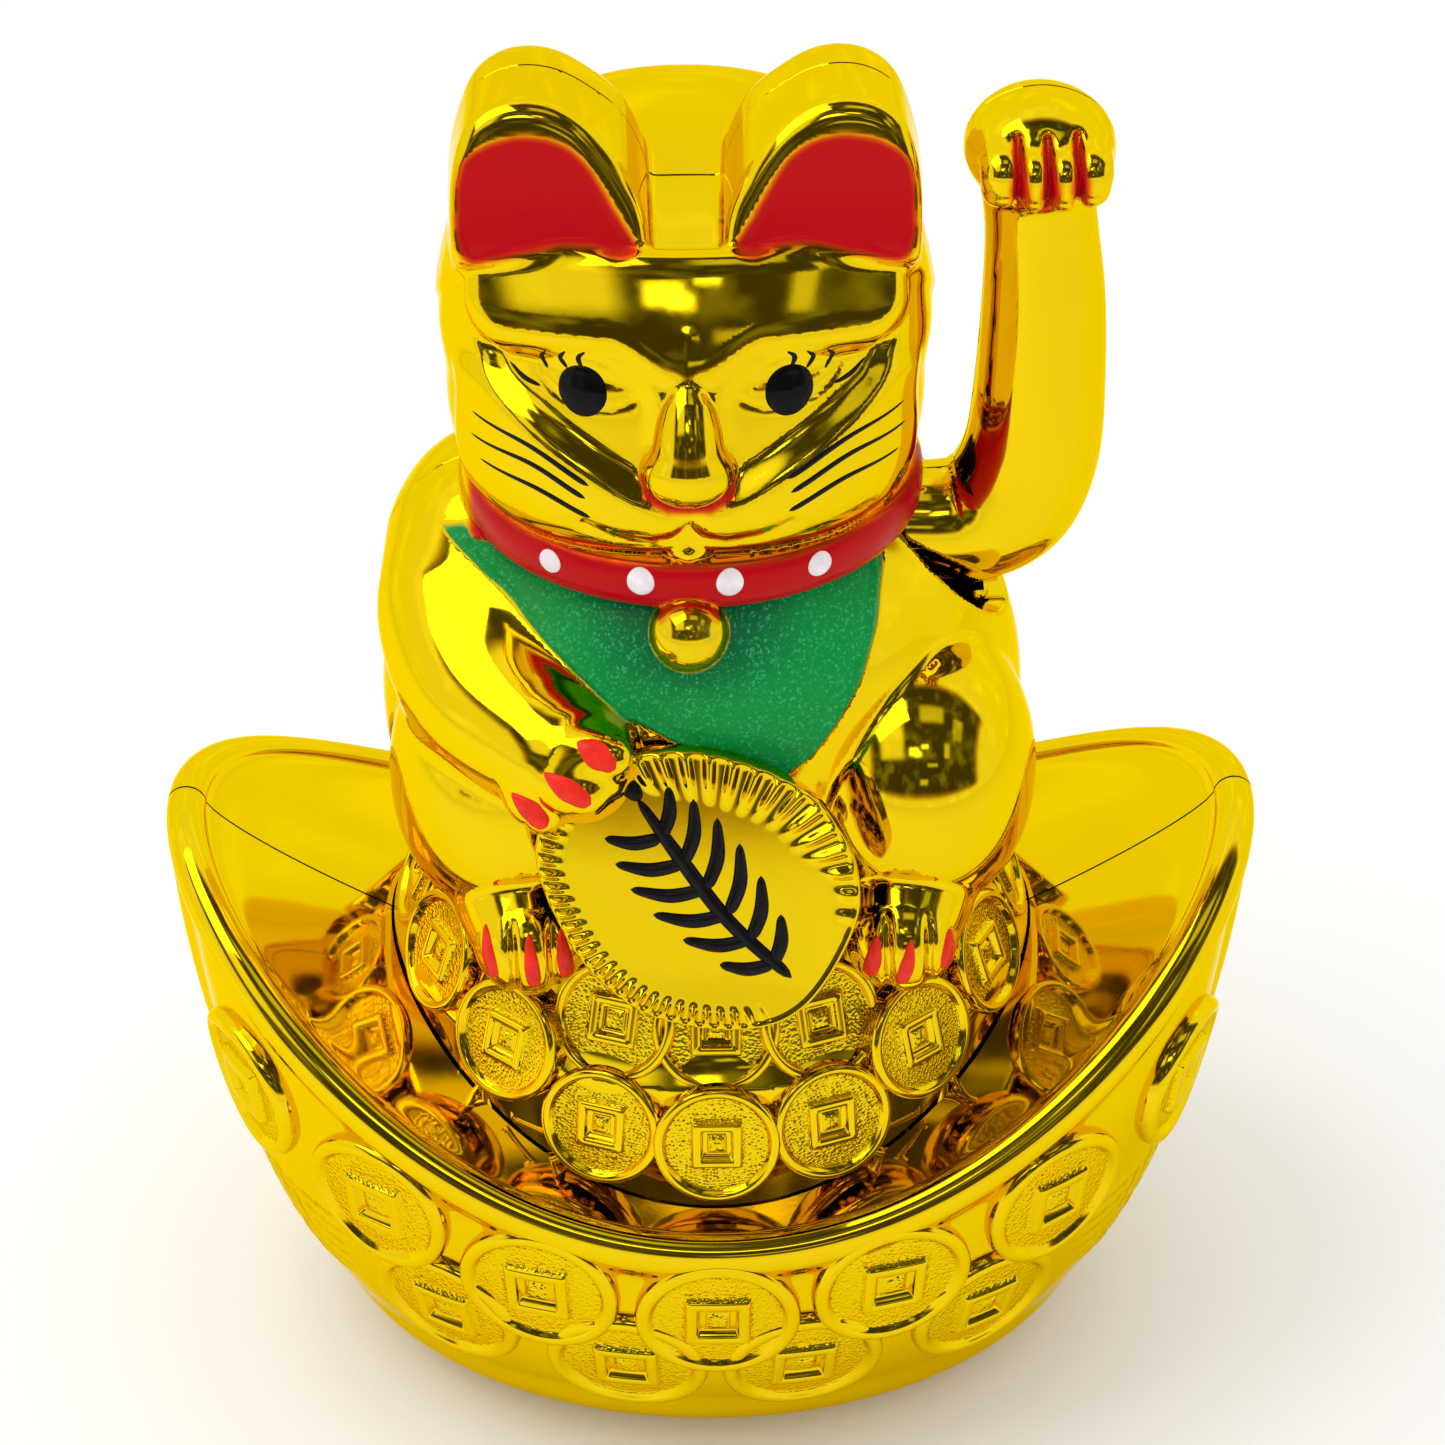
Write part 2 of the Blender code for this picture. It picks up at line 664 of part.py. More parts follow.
def add_cat_hollow(bm):
    add_mound(bm, CAT_WALL, MOUND_BOTTOM - 10 * MM)
    add_masses(bm, CAT_WALL)


def skinned(name, add_form, voxel, ratio):
    """A cutter-side object whose modifiers melt overlapping masses into one light skin."""
    bm = bmesh.new()
    add_form(bm)
    obj = from_bmesh(name, bm, where=CUTTERS)
    melt = obj.modifiers.new("melt", "REMESH")
    melt.mode = "VOXEL"
    melt.voxel_size = voxel
    relax = obj.modifiers.new("relax", "SMOOTH")
    relax.factor = 0.5
    relax.iterations = 2
    thin = obj.modifiers.new("thin", "DECIMATE")
    thin.ratio = ratio
    return obj


def cat_shells():
    form = skinned("cat_form", add_cat_form, 1.3 * MM, 0.075)
    cavity = skinned("cat_cavity", add_cat_hollow, 2 * MM, 0.07)
    opening = cylinder(
        "shoulder_opening",
        (14 * MM, 0, AXIS_Z - MM),
        (60 * MM, 0, AXIS_Z - MM),
        SHOULDER_OPENING,
        where=CUTTERS,
    )
    for name, side in (("cat_front_shell", -1), ("cat_rear_shell", 1)):
        shell = place(name, evaluated_copy(form), GOLD)
        boolean(shell, cavity, "DIFFERENCE")
        if side > 0:
            for index, x in enumerate(FRAME_SCREWS_X):
                face = (x, 14 * MM + GAP, FRAME_SCREWS_Z)
                boss = drilled(f"frame_boss_{index}", face, (x, 26 * MM, FRAME_SCREWS_Z), 3 * MM)
                mouth = (x, 10 * MM, FRAME_SCREWS_Z)
                hole = drilled(f"boss_hole_{index}", mouth, (x, 22 * MM, FRAME_SCREWS_Z), 1.4 * MM)
                boolean(shell, boss, "UNION")
                boolean(shell, hole, "DIFFERENCE")
        boolean(shell, half_space(name, side, 2 * INGOT_LENGTH), "INTERSECT")
        boolean(shell, opening, "DIFFERENCE")


# ---------------------------------------------------------------- waving mechanism


def pivot_frame():
    """A U-shaped bracket on the rear shell: a back plate and two cheeks that carry the shoulder axis."""
    low_x, high_x = -8 * MM, 15.5 * MM
    cheek = 2 * MM
    low_z, high_z = 103 * MM, 115.5 * MM
    bm = bmesh.new()
    add_box(bm, (low_x, -5 * MM, low_z), (high_x, 14 * MM, high_z))
    frame = from_bmesh("pivot_frame", bm, WHITE)
    hollow_low = (low_x + cheek, -8 * MM, low_z - MM)
    hollow = box("frame_hollow", hollow_low, (high_x - cheek, 12 * MM, high_z + MM), where=CUTTERS)
    outside, inside = (low_x - MM, 0, AXIS_Z), (low_x + cheek + MM, 0, AXIS_Z)
    pin_hole = drilled("pin_hole", outside, inside, PIN_R + RUNNING_GAP)
    journal_hole = cylinder(
        "journal_hole", (high_x - cheek - MM, 0, AXIS_Z), (high_x + MM, 0, AXIS_Z), JOURNAL_R + RUNNING_GAP,
        where=CUTTERS, sides=32,
    )
    for cutter in (hollow, pin_hole, journal_hole):
        boolean(frame, cutter, "DIFFERENCE")
    for index, x in enumerate(FRAME_SCREWS_X):
        start, end = (x, 10 * MM, FRAME_SCREWS_Z), (x, 16 * MM, FRAME_SCREWS_Z)
        boolean(frame, drilled(f"frame_hole_{index}", start, end, 1.6 * MM), "DIFFERENCE")
        head = (x, 12 * MM - GAP - 1.2 * MM, FRAME_SCREWS_Z)
        screw(f"frame_screw_{index + 1}", head, (x, 21 * MM, FRAME_SCREWS_Z), 2.6 * MM, 1.15 * MM)


def rocker():
    """The hub between the cheeks, its pin, the pendulum rod with weight and magnet, and the arm socket."""
    hub_low, hub_high = -5 * MM, 12.6 * MM
    bm = bmesh.new()
    add_cylinder(bm, (hub_low, 0, AXIS_Z), (hub_high, 0, AXIS_Z), 4.8 * MM)
    hub = from_bmesh("rocker_hub", bm, BLACK)
    journal = cylinder(
        "journal", (hub_high - MM, 0, AXIS_Z), (ARM_ROOT_X + 5 * MM, 0, AXIS_Z), JOURNAL_R,
        where=CUTTERS, sides=32,
    )
    half = 3.4 * MM
    socket_low, socket_high = (ROD_X - half, -half, AXIS_Z - 9 * MM), (ROD_X + half, half, AXIS_Z - 2 * MM)
    rod_socket = box("rod_socket", socket_low, socket_high, where=CUTTERS)
    pin_end = (hub_low + 7 * MM, 0, AXIS_Z)
    pin_bore = drilled("pin_bore", (hub_low - MM, 0, AXIS_Z), pin_end, PIN_R + 0.15 * MM)
    half = 1.8 * MM
    bore_low, bore_high = (ROD_X - half, -half, AXIS_Z - 10 * MM), (ROD_X + half, half, AXIS_Z - 3 * MM)
    rod_bore = box("rod_bore", bore_low, bore_high, where=CUTTERS)
    boolean(hub, journal, "UNION")
    boolean(hub, rod_socket, "UNION")
    boolean(hub, pin_bore, "DIFFERENCE")
    boolean(hub, rod_bore, "DIFFERENCE")
    cylinder("pivot_pin", (-8.6 * MM, 0, AXIS_Z), (hub_low + 6.5 * MM, 0, AXIS_Z), PIN_R, STEEL, sides=16)

    magnet_top = MAGNET_BOTTOM + 4 * MM
    holder_top = magnet_top + 9 * MM
    box(
        "pendulum_rod",
        (ROD_X - 1.5 * MM, -1.5 * MM, holder_top + GAP),
        (ROD_X + 1.5 * MM, 1.5 * MM, AXIS_Z - 3 * MM - GAP),
        WHITE,
    )
    # The weight sits a touch to the rear, which balances the paw's forward bulge.
    rear = 0.2 * MM
    cylinder(
        "balance_weight", (ROD_X, rear, magnet_top + GAP), (ROD_X, rear, holder_top), MAGNET_R, STEEL
    )
    cylinder("pendulum_magnet", (ROD_X, 0, MAGNET_BOTTOM), (ROD_X, 0, magnet_top), MAGNET_R, BLACK)
    turned(
        "arm_socket",
        [
            (4.8 * MM, 5 * MM),
            (4.8 * MM, 0),
            (JOURNAL_R + 0.15 * MM, 0),
            (JOURNAL_R + 0.15 * MM, 5 * MM),
        ],
        WHITE,
        axis="X",
        centre=(ARM_ROOT_X + 0.4 * MM, 0, AXIS_Z),
        steps=32,
    )


# Middle line of the raised arm in the XZ plane, and its radius there, in millimetres
ARM_LINE = [
    (18.5, 111.2, 7.1),
    (25.5, 111.0, 7.1),
    (30.0, 111.7, 7.5),
    (34.0, 114.8, 7.9),
    (36.2, 121.0, 7.7),
    (36.7, 130.0, 7.3),
    (36.6, 140.0, 6.8),
    (36.0, 148.0, 6.2),
    (35.3, 153.5, 6.2),
    (35.2, 158.3, 7.4),
]


def add_arm(bm, inset):
    points = [Vector((x, 0, z)) * MM for x, z, _ in ARM_LINE]
    radii = [radius * MM - inset for _, _, radius in ARM_LINE]
    add_limb(bm, points, radii)
    paw_radii = [r - inset for r in (7.6 * MM, 5.8 * MM, 5.6 * MM)]
    add_ellipsoid(bm, (35.2 * MM, -5 * MM, 156.8 * MM), paw_radii, sides=20)


def arm_shells():
    form = skinned("arm_form", lambda bm: add_arm(bm, 0), 1.1 * MM, 0.12)
    cavity = skinned("arm_cavity", lambda bm: add_arm(bm, ARM_WALL), 1.1 * MM, 0.1)
    root_end = box("arm_root_end", (0, -20 * MM, 90 * MM), (ARM_ROOT_X, 20 * MM, 130 * MM), where=CUTTERS)
    for name, side in (("arm_front_shell", -1), ("arm_rear_shell", 1)):
        shell = place(name, evaluated_copy(form), GOLD)
        boolean(shell, cavity, "DIFFERENCE")
        boolean(shell, half_space(name, side, INGOT_LENGTH), "INTERSECT")
        boolean(shell, root_end, "DIFFERENCE")


def pivot(name, position, nodes):
    """An empty at the place and on the axis that the named pieces move about."""
    empty = bpy.data.objects.new(name, None)
    empty.location = position
    empty.empty_display_size = 5 * MM
    PARTS.objects.link(empty)
    for node in nodes:
        piece = bpy.data.objects[node]
        piece.parent = empty
        piece.matrix_parent_inverse = Matrix.Translation(-Vector(position))


def set_pivots():
    waving = ["arm_front_shell", "arm_rear_shell", "arm_socket", "rocker_hub", "pivot_pin"]
    waving += ["pendulum_rod", "balance_weight", "pendulum_magnet"]
    pivot("arm_wave_axis", (ROD_X, 0, AXIS_Z), waving)
    pivot("battery_door_slide", (0, 0, 0), ["battery_door"])
    pivot("switch_slide", (-2 * MM, SWITCH_Y, 2 * MM), ["switch_knob"])


def main():
    ingot_shells()
    base_plate()
    battery_door()
    for index, (x, y) in enumerate(SCREW_SPOTS):
        screw(
            f"base_screw_{index + 1}", (x, y, 0.1 * MM), (x, y, 10 * MM), 2.6 * MM, 1.2 * MM,
            slot_turn=math.radians(35 * index),
        )
    battery()
    slide_switch()
    electronics()
    leads()
    cat_shells()
    pivot_frame()
    rocker()
    arm_shells()
    set_pivots()


main()
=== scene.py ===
"""A gold-plated beckoning cat on a pile of coins, seated in an ingot-shaped base.

Shapes are worked out in millimetres. X is to the viewer's right, the cat faces -Y, Z is up, and the origin
lies under the base.
"""

import math

import bpy
import numpy as np
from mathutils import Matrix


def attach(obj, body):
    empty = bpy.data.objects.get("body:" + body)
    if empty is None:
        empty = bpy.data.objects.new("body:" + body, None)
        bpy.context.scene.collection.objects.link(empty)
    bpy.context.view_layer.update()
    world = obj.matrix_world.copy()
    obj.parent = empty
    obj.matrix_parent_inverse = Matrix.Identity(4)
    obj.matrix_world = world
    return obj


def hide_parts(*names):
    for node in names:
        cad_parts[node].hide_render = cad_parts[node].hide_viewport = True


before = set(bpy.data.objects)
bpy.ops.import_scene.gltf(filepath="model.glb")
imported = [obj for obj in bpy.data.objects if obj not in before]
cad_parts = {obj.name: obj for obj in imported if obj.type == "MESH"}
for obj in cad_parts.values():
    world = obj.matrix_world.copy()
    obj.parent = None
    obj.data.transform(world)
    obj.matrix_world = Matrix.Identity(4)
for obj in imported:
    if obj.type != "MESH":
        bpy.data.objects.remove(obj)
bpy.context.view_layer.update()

import openvdb
from mathutils import Vector

MM = 0.001
SEAM = 0.15  # half of the gap between two moulded halves
WALL = 2.0  # the cat's
ARM_WALL = 1.5
INGOT_WALL = 1.8
BAND = 5.0  # how far from a shape its distances are kept
FAR = 30.0
BARE = 5.0  # distance from any paint where there is none
SPECK = 200  # a loose part of a skin with fewer faces is a pocket left by a blend
FINE = 0.5
HEAD_X = -2.8
CAT_FOOT = 69.9
ARM_START = 21.5  # X where the arm's shell begins
MOUND_FOOT = 40.2
HULL_X, HULL_Y = 64.9, 47.4  # half axes of the ingot's rim

# ---------------------------------------------------------------- distances


def vec(*values):
    return np.array(values, float)


def smooth_min(a, b, k):
    h = np.clip(0.5 + 0.5 * (b - a) / k, 0, 1)
    return b + (a - b) * h - k * h * (1 - h)


def smooth_max(a, b, k):
    return -smooth_min(-a, -b, k)


def ramp(value, start, end):
    """0 before start, 1 after end, with an S between them. It also runs backwards."""
    t = np.clip((value - start) / (end - start), 0, 1)
    return t * t * (3 - 2 * t)


def rotation(axis, degrees):
    c, s = math.cos(math.radians(degrees)), math.sin(math.radians(degrees))
    i = "XYZ".index(axis)
    j, k = (i + 1) % 3, (i + 2) % 3
    turn = np.eye(3)
    turn[j, j] = turn[k, k] = c
    turn[j, k], turn[k, j] = -s, s
    return turn


def blob(centre, radii, power=2.0, front_depth=None, tall=None, lean=0.0):
    """A rounded mass.

    front_depth is its radius towards -Y, tall its squareness upwards, and lean how far it moves back as it
    rises.
    """
    centre, radii = vec(*centre), vec(*radii)
    tall = tall or power

    def distance(p):
        q = p - centre
        if lean:
            q[:, 1] -= lean * q[:, 2]
        r = np.broadcast_to(radii, q.shape)
        if front_depth:
            r = r.copy()
            r[:, 1] = np.where(q[:, 1] < 0, front_depth, radii[1])
        q = np.abs(q) / r
        flat = (q[:, :2] ** power).sum(1) ** (1 / power) + 1e-9
        k = (flat**tall + q[:, 2] ** tall) ** (1 / tall)
        around = (flat / k) ** (tall - 1)
        slope = np.empty_like(q)
        slope[:, 0] = around * (q[:, 0] / flat) ** (power - 1)
        slope[:, 1] = around * (q[:, 1] / flat) ** (power - 1)
        slope[:, 2] = (q[:, 2] / k) ** (tall - 1)
        return (k - 1) / (np.linalg.norm(slope / r, axis=1) + 1e-9)

    reach = np.maximum(radii, vec(0, front_depth or 0, 0))
    reach = reach + vec(0, abs(lean) * radii[2], 0)
    return distance, centre - reach, centre + reach


def curve_through(points, count):
    """Evenly counted points along a Catmull-Rom curve through the given rows of numbers."""
    points = np.array(points, float)
    ends = np.vstack([2 * points[0] - points[1], points, 2 * points[-1] - points[-2]])
    t = np.linspace(0, len(points) - 1, count)
    i = np.minimum(t.astype(int), len(points) - 2)
    t = (t - i)[:, None]
    a, b, c, d = (ends[i + n] for n in range(4))
    return (2 * b + (c - a) * t + (2 * a - 5 * b + 4 * c - d) * t**2 + (3 * b - a - 3 * c + d) * t**3) / 2


def ring_through(points, per_side=6):
    """A closed smooth outline through the given points."""
    points = np.array(points, float)
    wrapped = np.vstack([points[-2:], points, points[:3]])
    line = curve_through(wrapped, (len(wrapped) - 1) * per_side + 1)
    return line[2 * per_side : (2 + len(points)) * per_side]


def sweep(points, samples=160):
    """A tube through rows of x, y, z, radius, with a round end."""
    line = curve_through(points, samples)
    first = np.gradient(line[:, :3], axis=0)
    second = np.gradient(first, axis=0)
    at = np.linspace(0, samples - 1, samples)
    starts = np.unique(np.append(np.arange(0, samples, 5), samples - 1))
    coarse = line[starts, :3]

    def distance(p):
        best = np.full(len(p), 1e9)
        where = np.zeros(len(p))
        for n in range(len(coarse) - 1):
            a, b = coarse[n], coarse[n + 1]
            side = b - a
            t = np.clip((p - a) @ side / (side @ side), 0, 1)
            gap = np.linalg.norm(p - a - t[:, None] * side, axis=1)
            nearer = gap < best
            best[nearer] = gap[nearer]
            where[nearer] = (starts[n] + t * (starts[n + 1] - starts[n]))[nearer]
        for _ in range(2):
            here, d1, d2 = (
                np.stack([np.interp(where, at, rows[:, i]) for i in range(3)], 1)
                for rows in (line[:, :3], first, second)
            )
            off = p - here
            along = (off * d1).sum(1)
            bend = (d1 * d1).sum(1) - (off * d2).sum(1)
            where = np.clip(where + along / np.maximum(bend, 0.3 * (d1 * d1).sum(1)), 0, samples - 1)
        here = np.stack([np.interp(where, at, line[:, i]) for i in range(3)], 1)
        return np.linalg.norm(p - here, axis=1) - np.interp(where, at, line[:, 3])

    reach = line[:, 3:].max()
    return distance, line[:, :3].min(0) - reach, line[:, :3].max(0) + reach


def outline_distance(u, v, outline):
    """Distance from each (u, v) to a closed outline, negative inside."""
    best = np.full(len(u), 1e9)
    inside = np.zeros(len(u), bool)
    for (ax, ay), (bx, by) in zip(outline, np.roll(outline, -1, 0)):
        dx, dy = bx - ax, by - ay
        t = np.clip(((u - ax) * dx + (v - ay) * dy) / (dx * dx + dy * dy + 1e-12), 0, 1)
        best = np.minimum(best, (u - ax - t * dx) ** 2 + (v - ay - t * dy) ** 2)
        crosses = (ay > v) != (by > v)
        with np.errstate(divide="ignore", invalid="ignore"):
            inside ^= crosses & (u < (bx - ax) * (v - ay) / (by - ay) + ax)
    return np.sqrt(best) * np.where(inside, -1, 1)


def line_distance(u, v, points, widths=None):
    """Distance from each (u, v) to an open line, less half its width there."""
    best = np.full(len(u), 1e9)
    points = np.array(points, float)
    widths = np.zeros(len(points)) if widths is None else np.array(widths, float)
    for (ax, ay), (bx, by), wa, wb in zip(points, points[1:], widths, widths[1:]):
        dx, dy = bx - ax, by - ay
        t = np.clip(((u - ax) * dx + (v - ay) * dy) / (dx * dx + dy * dy + 1e-12), 0, 1)
        best = np.minimum(best, np.hypot(u - ax - t * dx, v - ay - t * dy) - wa - t * (wb - wa))
    return best


def within(points, low, high):
    """True for each point inside a box."""
    inside = np.ones(len(points), bool)
    for values, least, most in zip(points.T, low, high):
        inside &= (values > least) & (values < most)
    return inside


class Form:
    """A solid, as steps that each change a signed distance in millimetres inside their own box."""

    def __init__(self, steps=()):
        self.steps = list(steps)

    def change(self, low, high, how):
        self.steps.append((vec(*low), vec(*high), how))

    def add(self, shape, blend=1.0):
        distance, low, high = shape
        reach = BAND + blend
        self.change(low - reach, high + reach, lambda d, p: smooth_min(d, distance(p), blend))

    def cut(self, shape, blend=0.4):
        distance, low, high = shape
        reach = BAND + blend
        self.change(low - reach, high + reach, lambda d, p: smooth_max(d, -distance(p), blend))

    def raised(self, low, high, height):
        self.change(low, high, lambda d, p: d - height(p))

    def kept(self, beyond, blend=0.3):
        """Keeps the part where beyond(p) is negative."""
        everywhere = vec(1e3, 1e3, 1e3)
        self.change(-everywhere, everywhere, lambda d, p: smooth_max(d, beyond(p), blend))
        return self

    def __call__(self, points):
        d = np.full(len(points), FAR)
        for low, high, how in self.steps:
            index = np.nonzero(within(points, low, high))[0]
            if len(index):
                d[index] = how(d[index], points[index])
        return d

    def normals(self, points):
        reach = 0.12
        slope = np.empty_like(points)
        for i in range(3):
            step = np.zeros(3)
            step[i] = reach
            slope[:, i] = self(points + step) - self(points - step)
        return slope / (np.linalg.norm(slope, axis=1, keepdims=True) + 1e-12)


def skin(form, low, high, step):
    """Points and quads on the surface of a form, with the unit normal at each point."""
    side = 4
    low = vec(*low)
    blocks = np.ceil((vec(*high) - low) / (side * step)).astype(int) + 1
    index = np.indices(blocks).reshape(3, -1).T
    coarse = form(low + (index * side + (side - 1) / 2) * step)
    grid = np.repeat(np.repeat(np.repeat(coarse.reshape(blocks), side, 0), side, 1), side, 2)
    near = index[np.abs(coarse) < side * step * 1.5 + 1.0]
    inner = np.indices((side,) * 3).reshape(3, -1).T
    for part in np.array_split(near, max(1, len(near) // 4000)):
        cells = (part[:, None] * side + inner[None]).reshape(-1, 3)
        grid[tuple(cells.T)] = form(low + cells * step)
    volume = openvdb.FloatGrid(FAR)
    volume.copyFromArray(np.ascontiguousarray(np.clip(grid, -FAR, FAR), np.float32))
    points, _, quads = volume.convertToPolygons(isovalue=0.0, adaptivity=0.0)
    points = low + np.array(points, float) * step
    quads = np.array(quads, int)
    for _ in range(2):
        normals = form.normals(points)
        move = np.clip(form(points), -0.5 * step, 0.5 * step)
        points -= move[:, None] * normals
    normals = form.normals(points)
    a, b, c, _ = (points[quads[:, i]] for i in range(4))
    facing = (np.cross(b - a, c - a) * normals[quads[:, 0]]).sum(1)
    if np.median(facing) < 0:
        quads = quads[:, ::-1]
    return points, quads, normals


def beyond_seam(side):
    """How far points are past the parting plane of one half: side -1 is the front half, 1 the rear one."""
    return lambda p: side * -p[:, 1] + SEAM


def crisp_seam(form, points, normals, side, step):
    """Draws the points along the parting edge onto the seam plane and the form's own surface at once."""
    near = np.abs(side * points[:, 1] - SEAM) < 0.6 * step
    near[near] = np.abs(form(points[near])) < 0.6 * step
    edge = points[near]
    edge[:, 1] = side * SEAM
    for _ in range(3):
        slope = form.normals(edge)
        slope[:, 1] = 0
        edge -= form(edge)[:, None] * slope / np.maximum((slope**2).sum(1), 0.2)[:, None]
    points[near] = edge
    normals[near] = form.normals(edge)


def in_large_part(faces, point_count):
    """True for each face that hangs together with enough others not to be a speck."""
    label = np.arange(point_count)
    while True:
        lowest = label[faces].min(1)
        spread = label.copy()
        for corner in faces.T:
            np.minimum.at(spread, corner, lowest)
        spread = spread[spread]
        if np.array_equal(spread, label):
            break
        label = spread
    _, group, size = np.unique(label[faces[:, 0]], return_inverse=True, return_counts=True)
    return size[group] >= SPECK


def keep_faces(points, faces, normals, wanted):
    """Only the faces wanted, without loose specks and without the points that nothing uses any more."""
    faces = faces[wanted]
    faces = faces[in_large_part(faces, len(points))]
    used = np.unique(faces)
    renumber = np.full(len(points), -1)
    renumber[used] = np.arange(len(used))
    return points[used], renumber[faces], normals[used]


def moulding(form, half, side, wall, box, steps, cavity_end, closes_end):
    """The outside of a hollow half, and its cavity's wall without the faces that would close it off."""
    step, cavity_step = steps
    p, f, n = skin(half, *box, step)
    crisp_seam(form, p, n, side, step)
    outer = keep_faces(p, f, n, form(p)[f].max(1) > -wall)
    cavity = Form(form.steps)
    cavity.change((-99, -99, 0), (99, 99, 200), lambda d, p: d + wall)
    cavity.kept(beyond_seam(side), 0.2)
    cavity.kept(cavity_end, 0.2)
    p, f, n = skin(cavity, *box, cavity_step)
    middle, facing = p[f].mean(1), n[f].mean(1)
    cap = (np.abs(facing[:, 1]) > 0.9) & (np.abs(middle[:, 1]) < 0.5)
    cap |= closes_end(middle, facing)
    return outer, keep_faces(p, f[:, ::-1], -n, ~cap)


def joined(*skins):
    """Several skins as one, with the points numbered on."""
    points, faces, normals, start = [], [], [], 0
    for p, f, n in skins:
        points.append(p)
        faces.append(f + start)
        normals.append(n)
        start += len(p)
    return np.vstack(points), np.vstack(faces), np.vstack(normals)


# ---------------------------------------------------------------- pieces


def piece(name, points, faces, material, body="base", stands_for=(), normals=None, marks=None):
    """A mesh from points in millimetres, riding on a body.

    marks are numbers kept at each point for the material.
    """
    mesh = bpy.data.meshes.new(name)
    mesh.from_pydata((points * MM).tolist(), [], faces.tolist())
    mesh.validate()
    mesh.shade_smooth()
    for key, values in (marks or {}).items():
        layer = mesh.attributes.new(key, "FLOAT", "POINT")
        layer.data.foreach_set("value", np.asarray(values, np.float32))
    if normals is not None:
        mesh.normals_split_custom_set_from_vertices(np.asarray(normals, np.float32).tolist())
    mesh.materials.append(material)
    obj = bpy.data.objects.new(name, mesh)
    bpy.context.scene.collection.objects.link(obj)
    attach(obj, body)
    if stands_for:
        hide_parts(*stands_for)


def grid_faces(rows, columns, close_rows=False, close_columns=False):
    """Quads over a grid of points numbered row by row."""
    i = np.arange(rows if close_rows else rows - 1)
    j = np.arange(columns if close_columns else columns - 1)
    i, j = (a.ravel() for a in np.meshgrid(i, j, indexing="ij"))
    ii, jj = (i + 1) % rows, (j + 1) % columns
    return np.stack([i * columns + j, i * columns + jj, ii * columns + jj, ii * columns + j], 1)


# ---------------------------------------------------------------- materials


class Nodes:
    """Short ways to write a node tree. Its patterns lie in the named coordinates."""

    def __init__(self, tree, coordinates):
        self.tree = tree
        self.place = self.node("ShaderNodeTexCoord").outputs[coordinates]

    def node(self, kind, **settings):
        made = self.tree.nodes.new(kind)
        for key, value in settings.items():
            setattr(made, key, value)
        return made

    def put(self, socket, value):
        if isinstance(value, bpy.types.NodeSocket):
            self.tree.links.new(value, socket)
        else:
            socket.default_value = value

    def math(self, operation, a, b=0.0):
        made = self.node("ShaderNodeMath", operation=operation)
        self.put(made.inputs[0], a)
        self.put(made.inputs[1], b)
        return made.outputs[0]

    def noise(self, scale, detail=3.0, roughness=0.5, stretch=None):
        made = self.node("ShaderNodeTexNoise")
        place = self.place
        if stretch:
            mapping = self.node("ShaderNodeMapping")
            mapping.inputs["Scale"].default_value = stretch
            self.put(mapping.inputs["Vector"], place)
            place = mapping.outputs[0]
        self.put(made.inputs["Vector"], place)
        made.inputs["Scale"].default_value = scale
        made.inputs["Detail"].default_value = detail
        made.inputs["Roughness"].default_value = roughness
        return made.outputs[0]

    def cells(self, scale, output="Distance"):
        made = self.node("ShaderNodeTexVoronoi", feature="F1")
        self.put(made.inputs["Vector"], self.place)
        made.inputs["Scale"].default_value = scale
        return made.outputs[output]

    def ramp(self, value, start, end, low=0.0, high=1.0):
        made = self.node("ShaderNodeMapRange", interpolation_type="SMOOTHSTEP")
        self.put(made.inputs["Value"], value)
        for key, number in (("From Min", start), ("From Max", end), ("To Min", low), ("To Max", high)):
            made.inputs[key].default_value = number
        return made.outputs[0]

    def mix(self, share, a, b):
        made = self.node("ShaderNodeMix", data_type="RGBA")
        self.put(made.inputs[0], share)
        self.put(made.inputs[6], (*a, 1) if isinstance(a, tuple) else a)
        self.put(made.inputs[7], (*b, 1) if isinstance(b, tuple) else b)
        return made.outputs[2]


class Finish(Nodes):
    """A material and its node tree."""

    def __init__(self, name):
        self.material = bpy.data.materials.new(name)
        self.material.use_nodes = True
        super().__init__(self.material.node_tree, "Object")
        self.shader = self.tree.nodes["Principled BSDF"]

    def mark(self, name):
        return self.node("ShaderNodeAttribute", attribute_name=name).outputs["Fac"]

    def bump(self, *layers):
        """Bump from (height, distance in metres, strength) layers, each on top of the one before."""
        normal = None
        for height, distance, strength in layers:
            made = self.node("ShaderNodeBump")
            made.inputs["Distance"].default_value = distance
            self.put(made.inputs["Strength"], strength)
            self.put(made.inputs["Height"], height)
            if normal:
                self.put(made.inputs["Normal"], normal)
            normal = made.outputs[0]
        self.put(self.shader.inputs["Normal"], normal)

    def set(self, **values):
        for key, value in values.items():
            socket = self.shader.inputs[key.replace("_", " ")]
            if isinstance(value, tuple) and len(value) == 3:
                value = (*value, 1)
            self.put(socket, value)
        return self.material


GOLD = (0.84, 0.60, 0.005)
DEEP_GOLD = (0.80, 0.50, 0.005)
RED = (0.47, 0.0, 0.010)
ORANGE = (0.75, 0.10, 0.004)
GREEN = (0.0, 0.25, 0.052)
# painted shade: the darker green given to the bib round the bell and under the collar
PAINTED_SHADE_GREEN = (0.0, 0.11, 0.045)


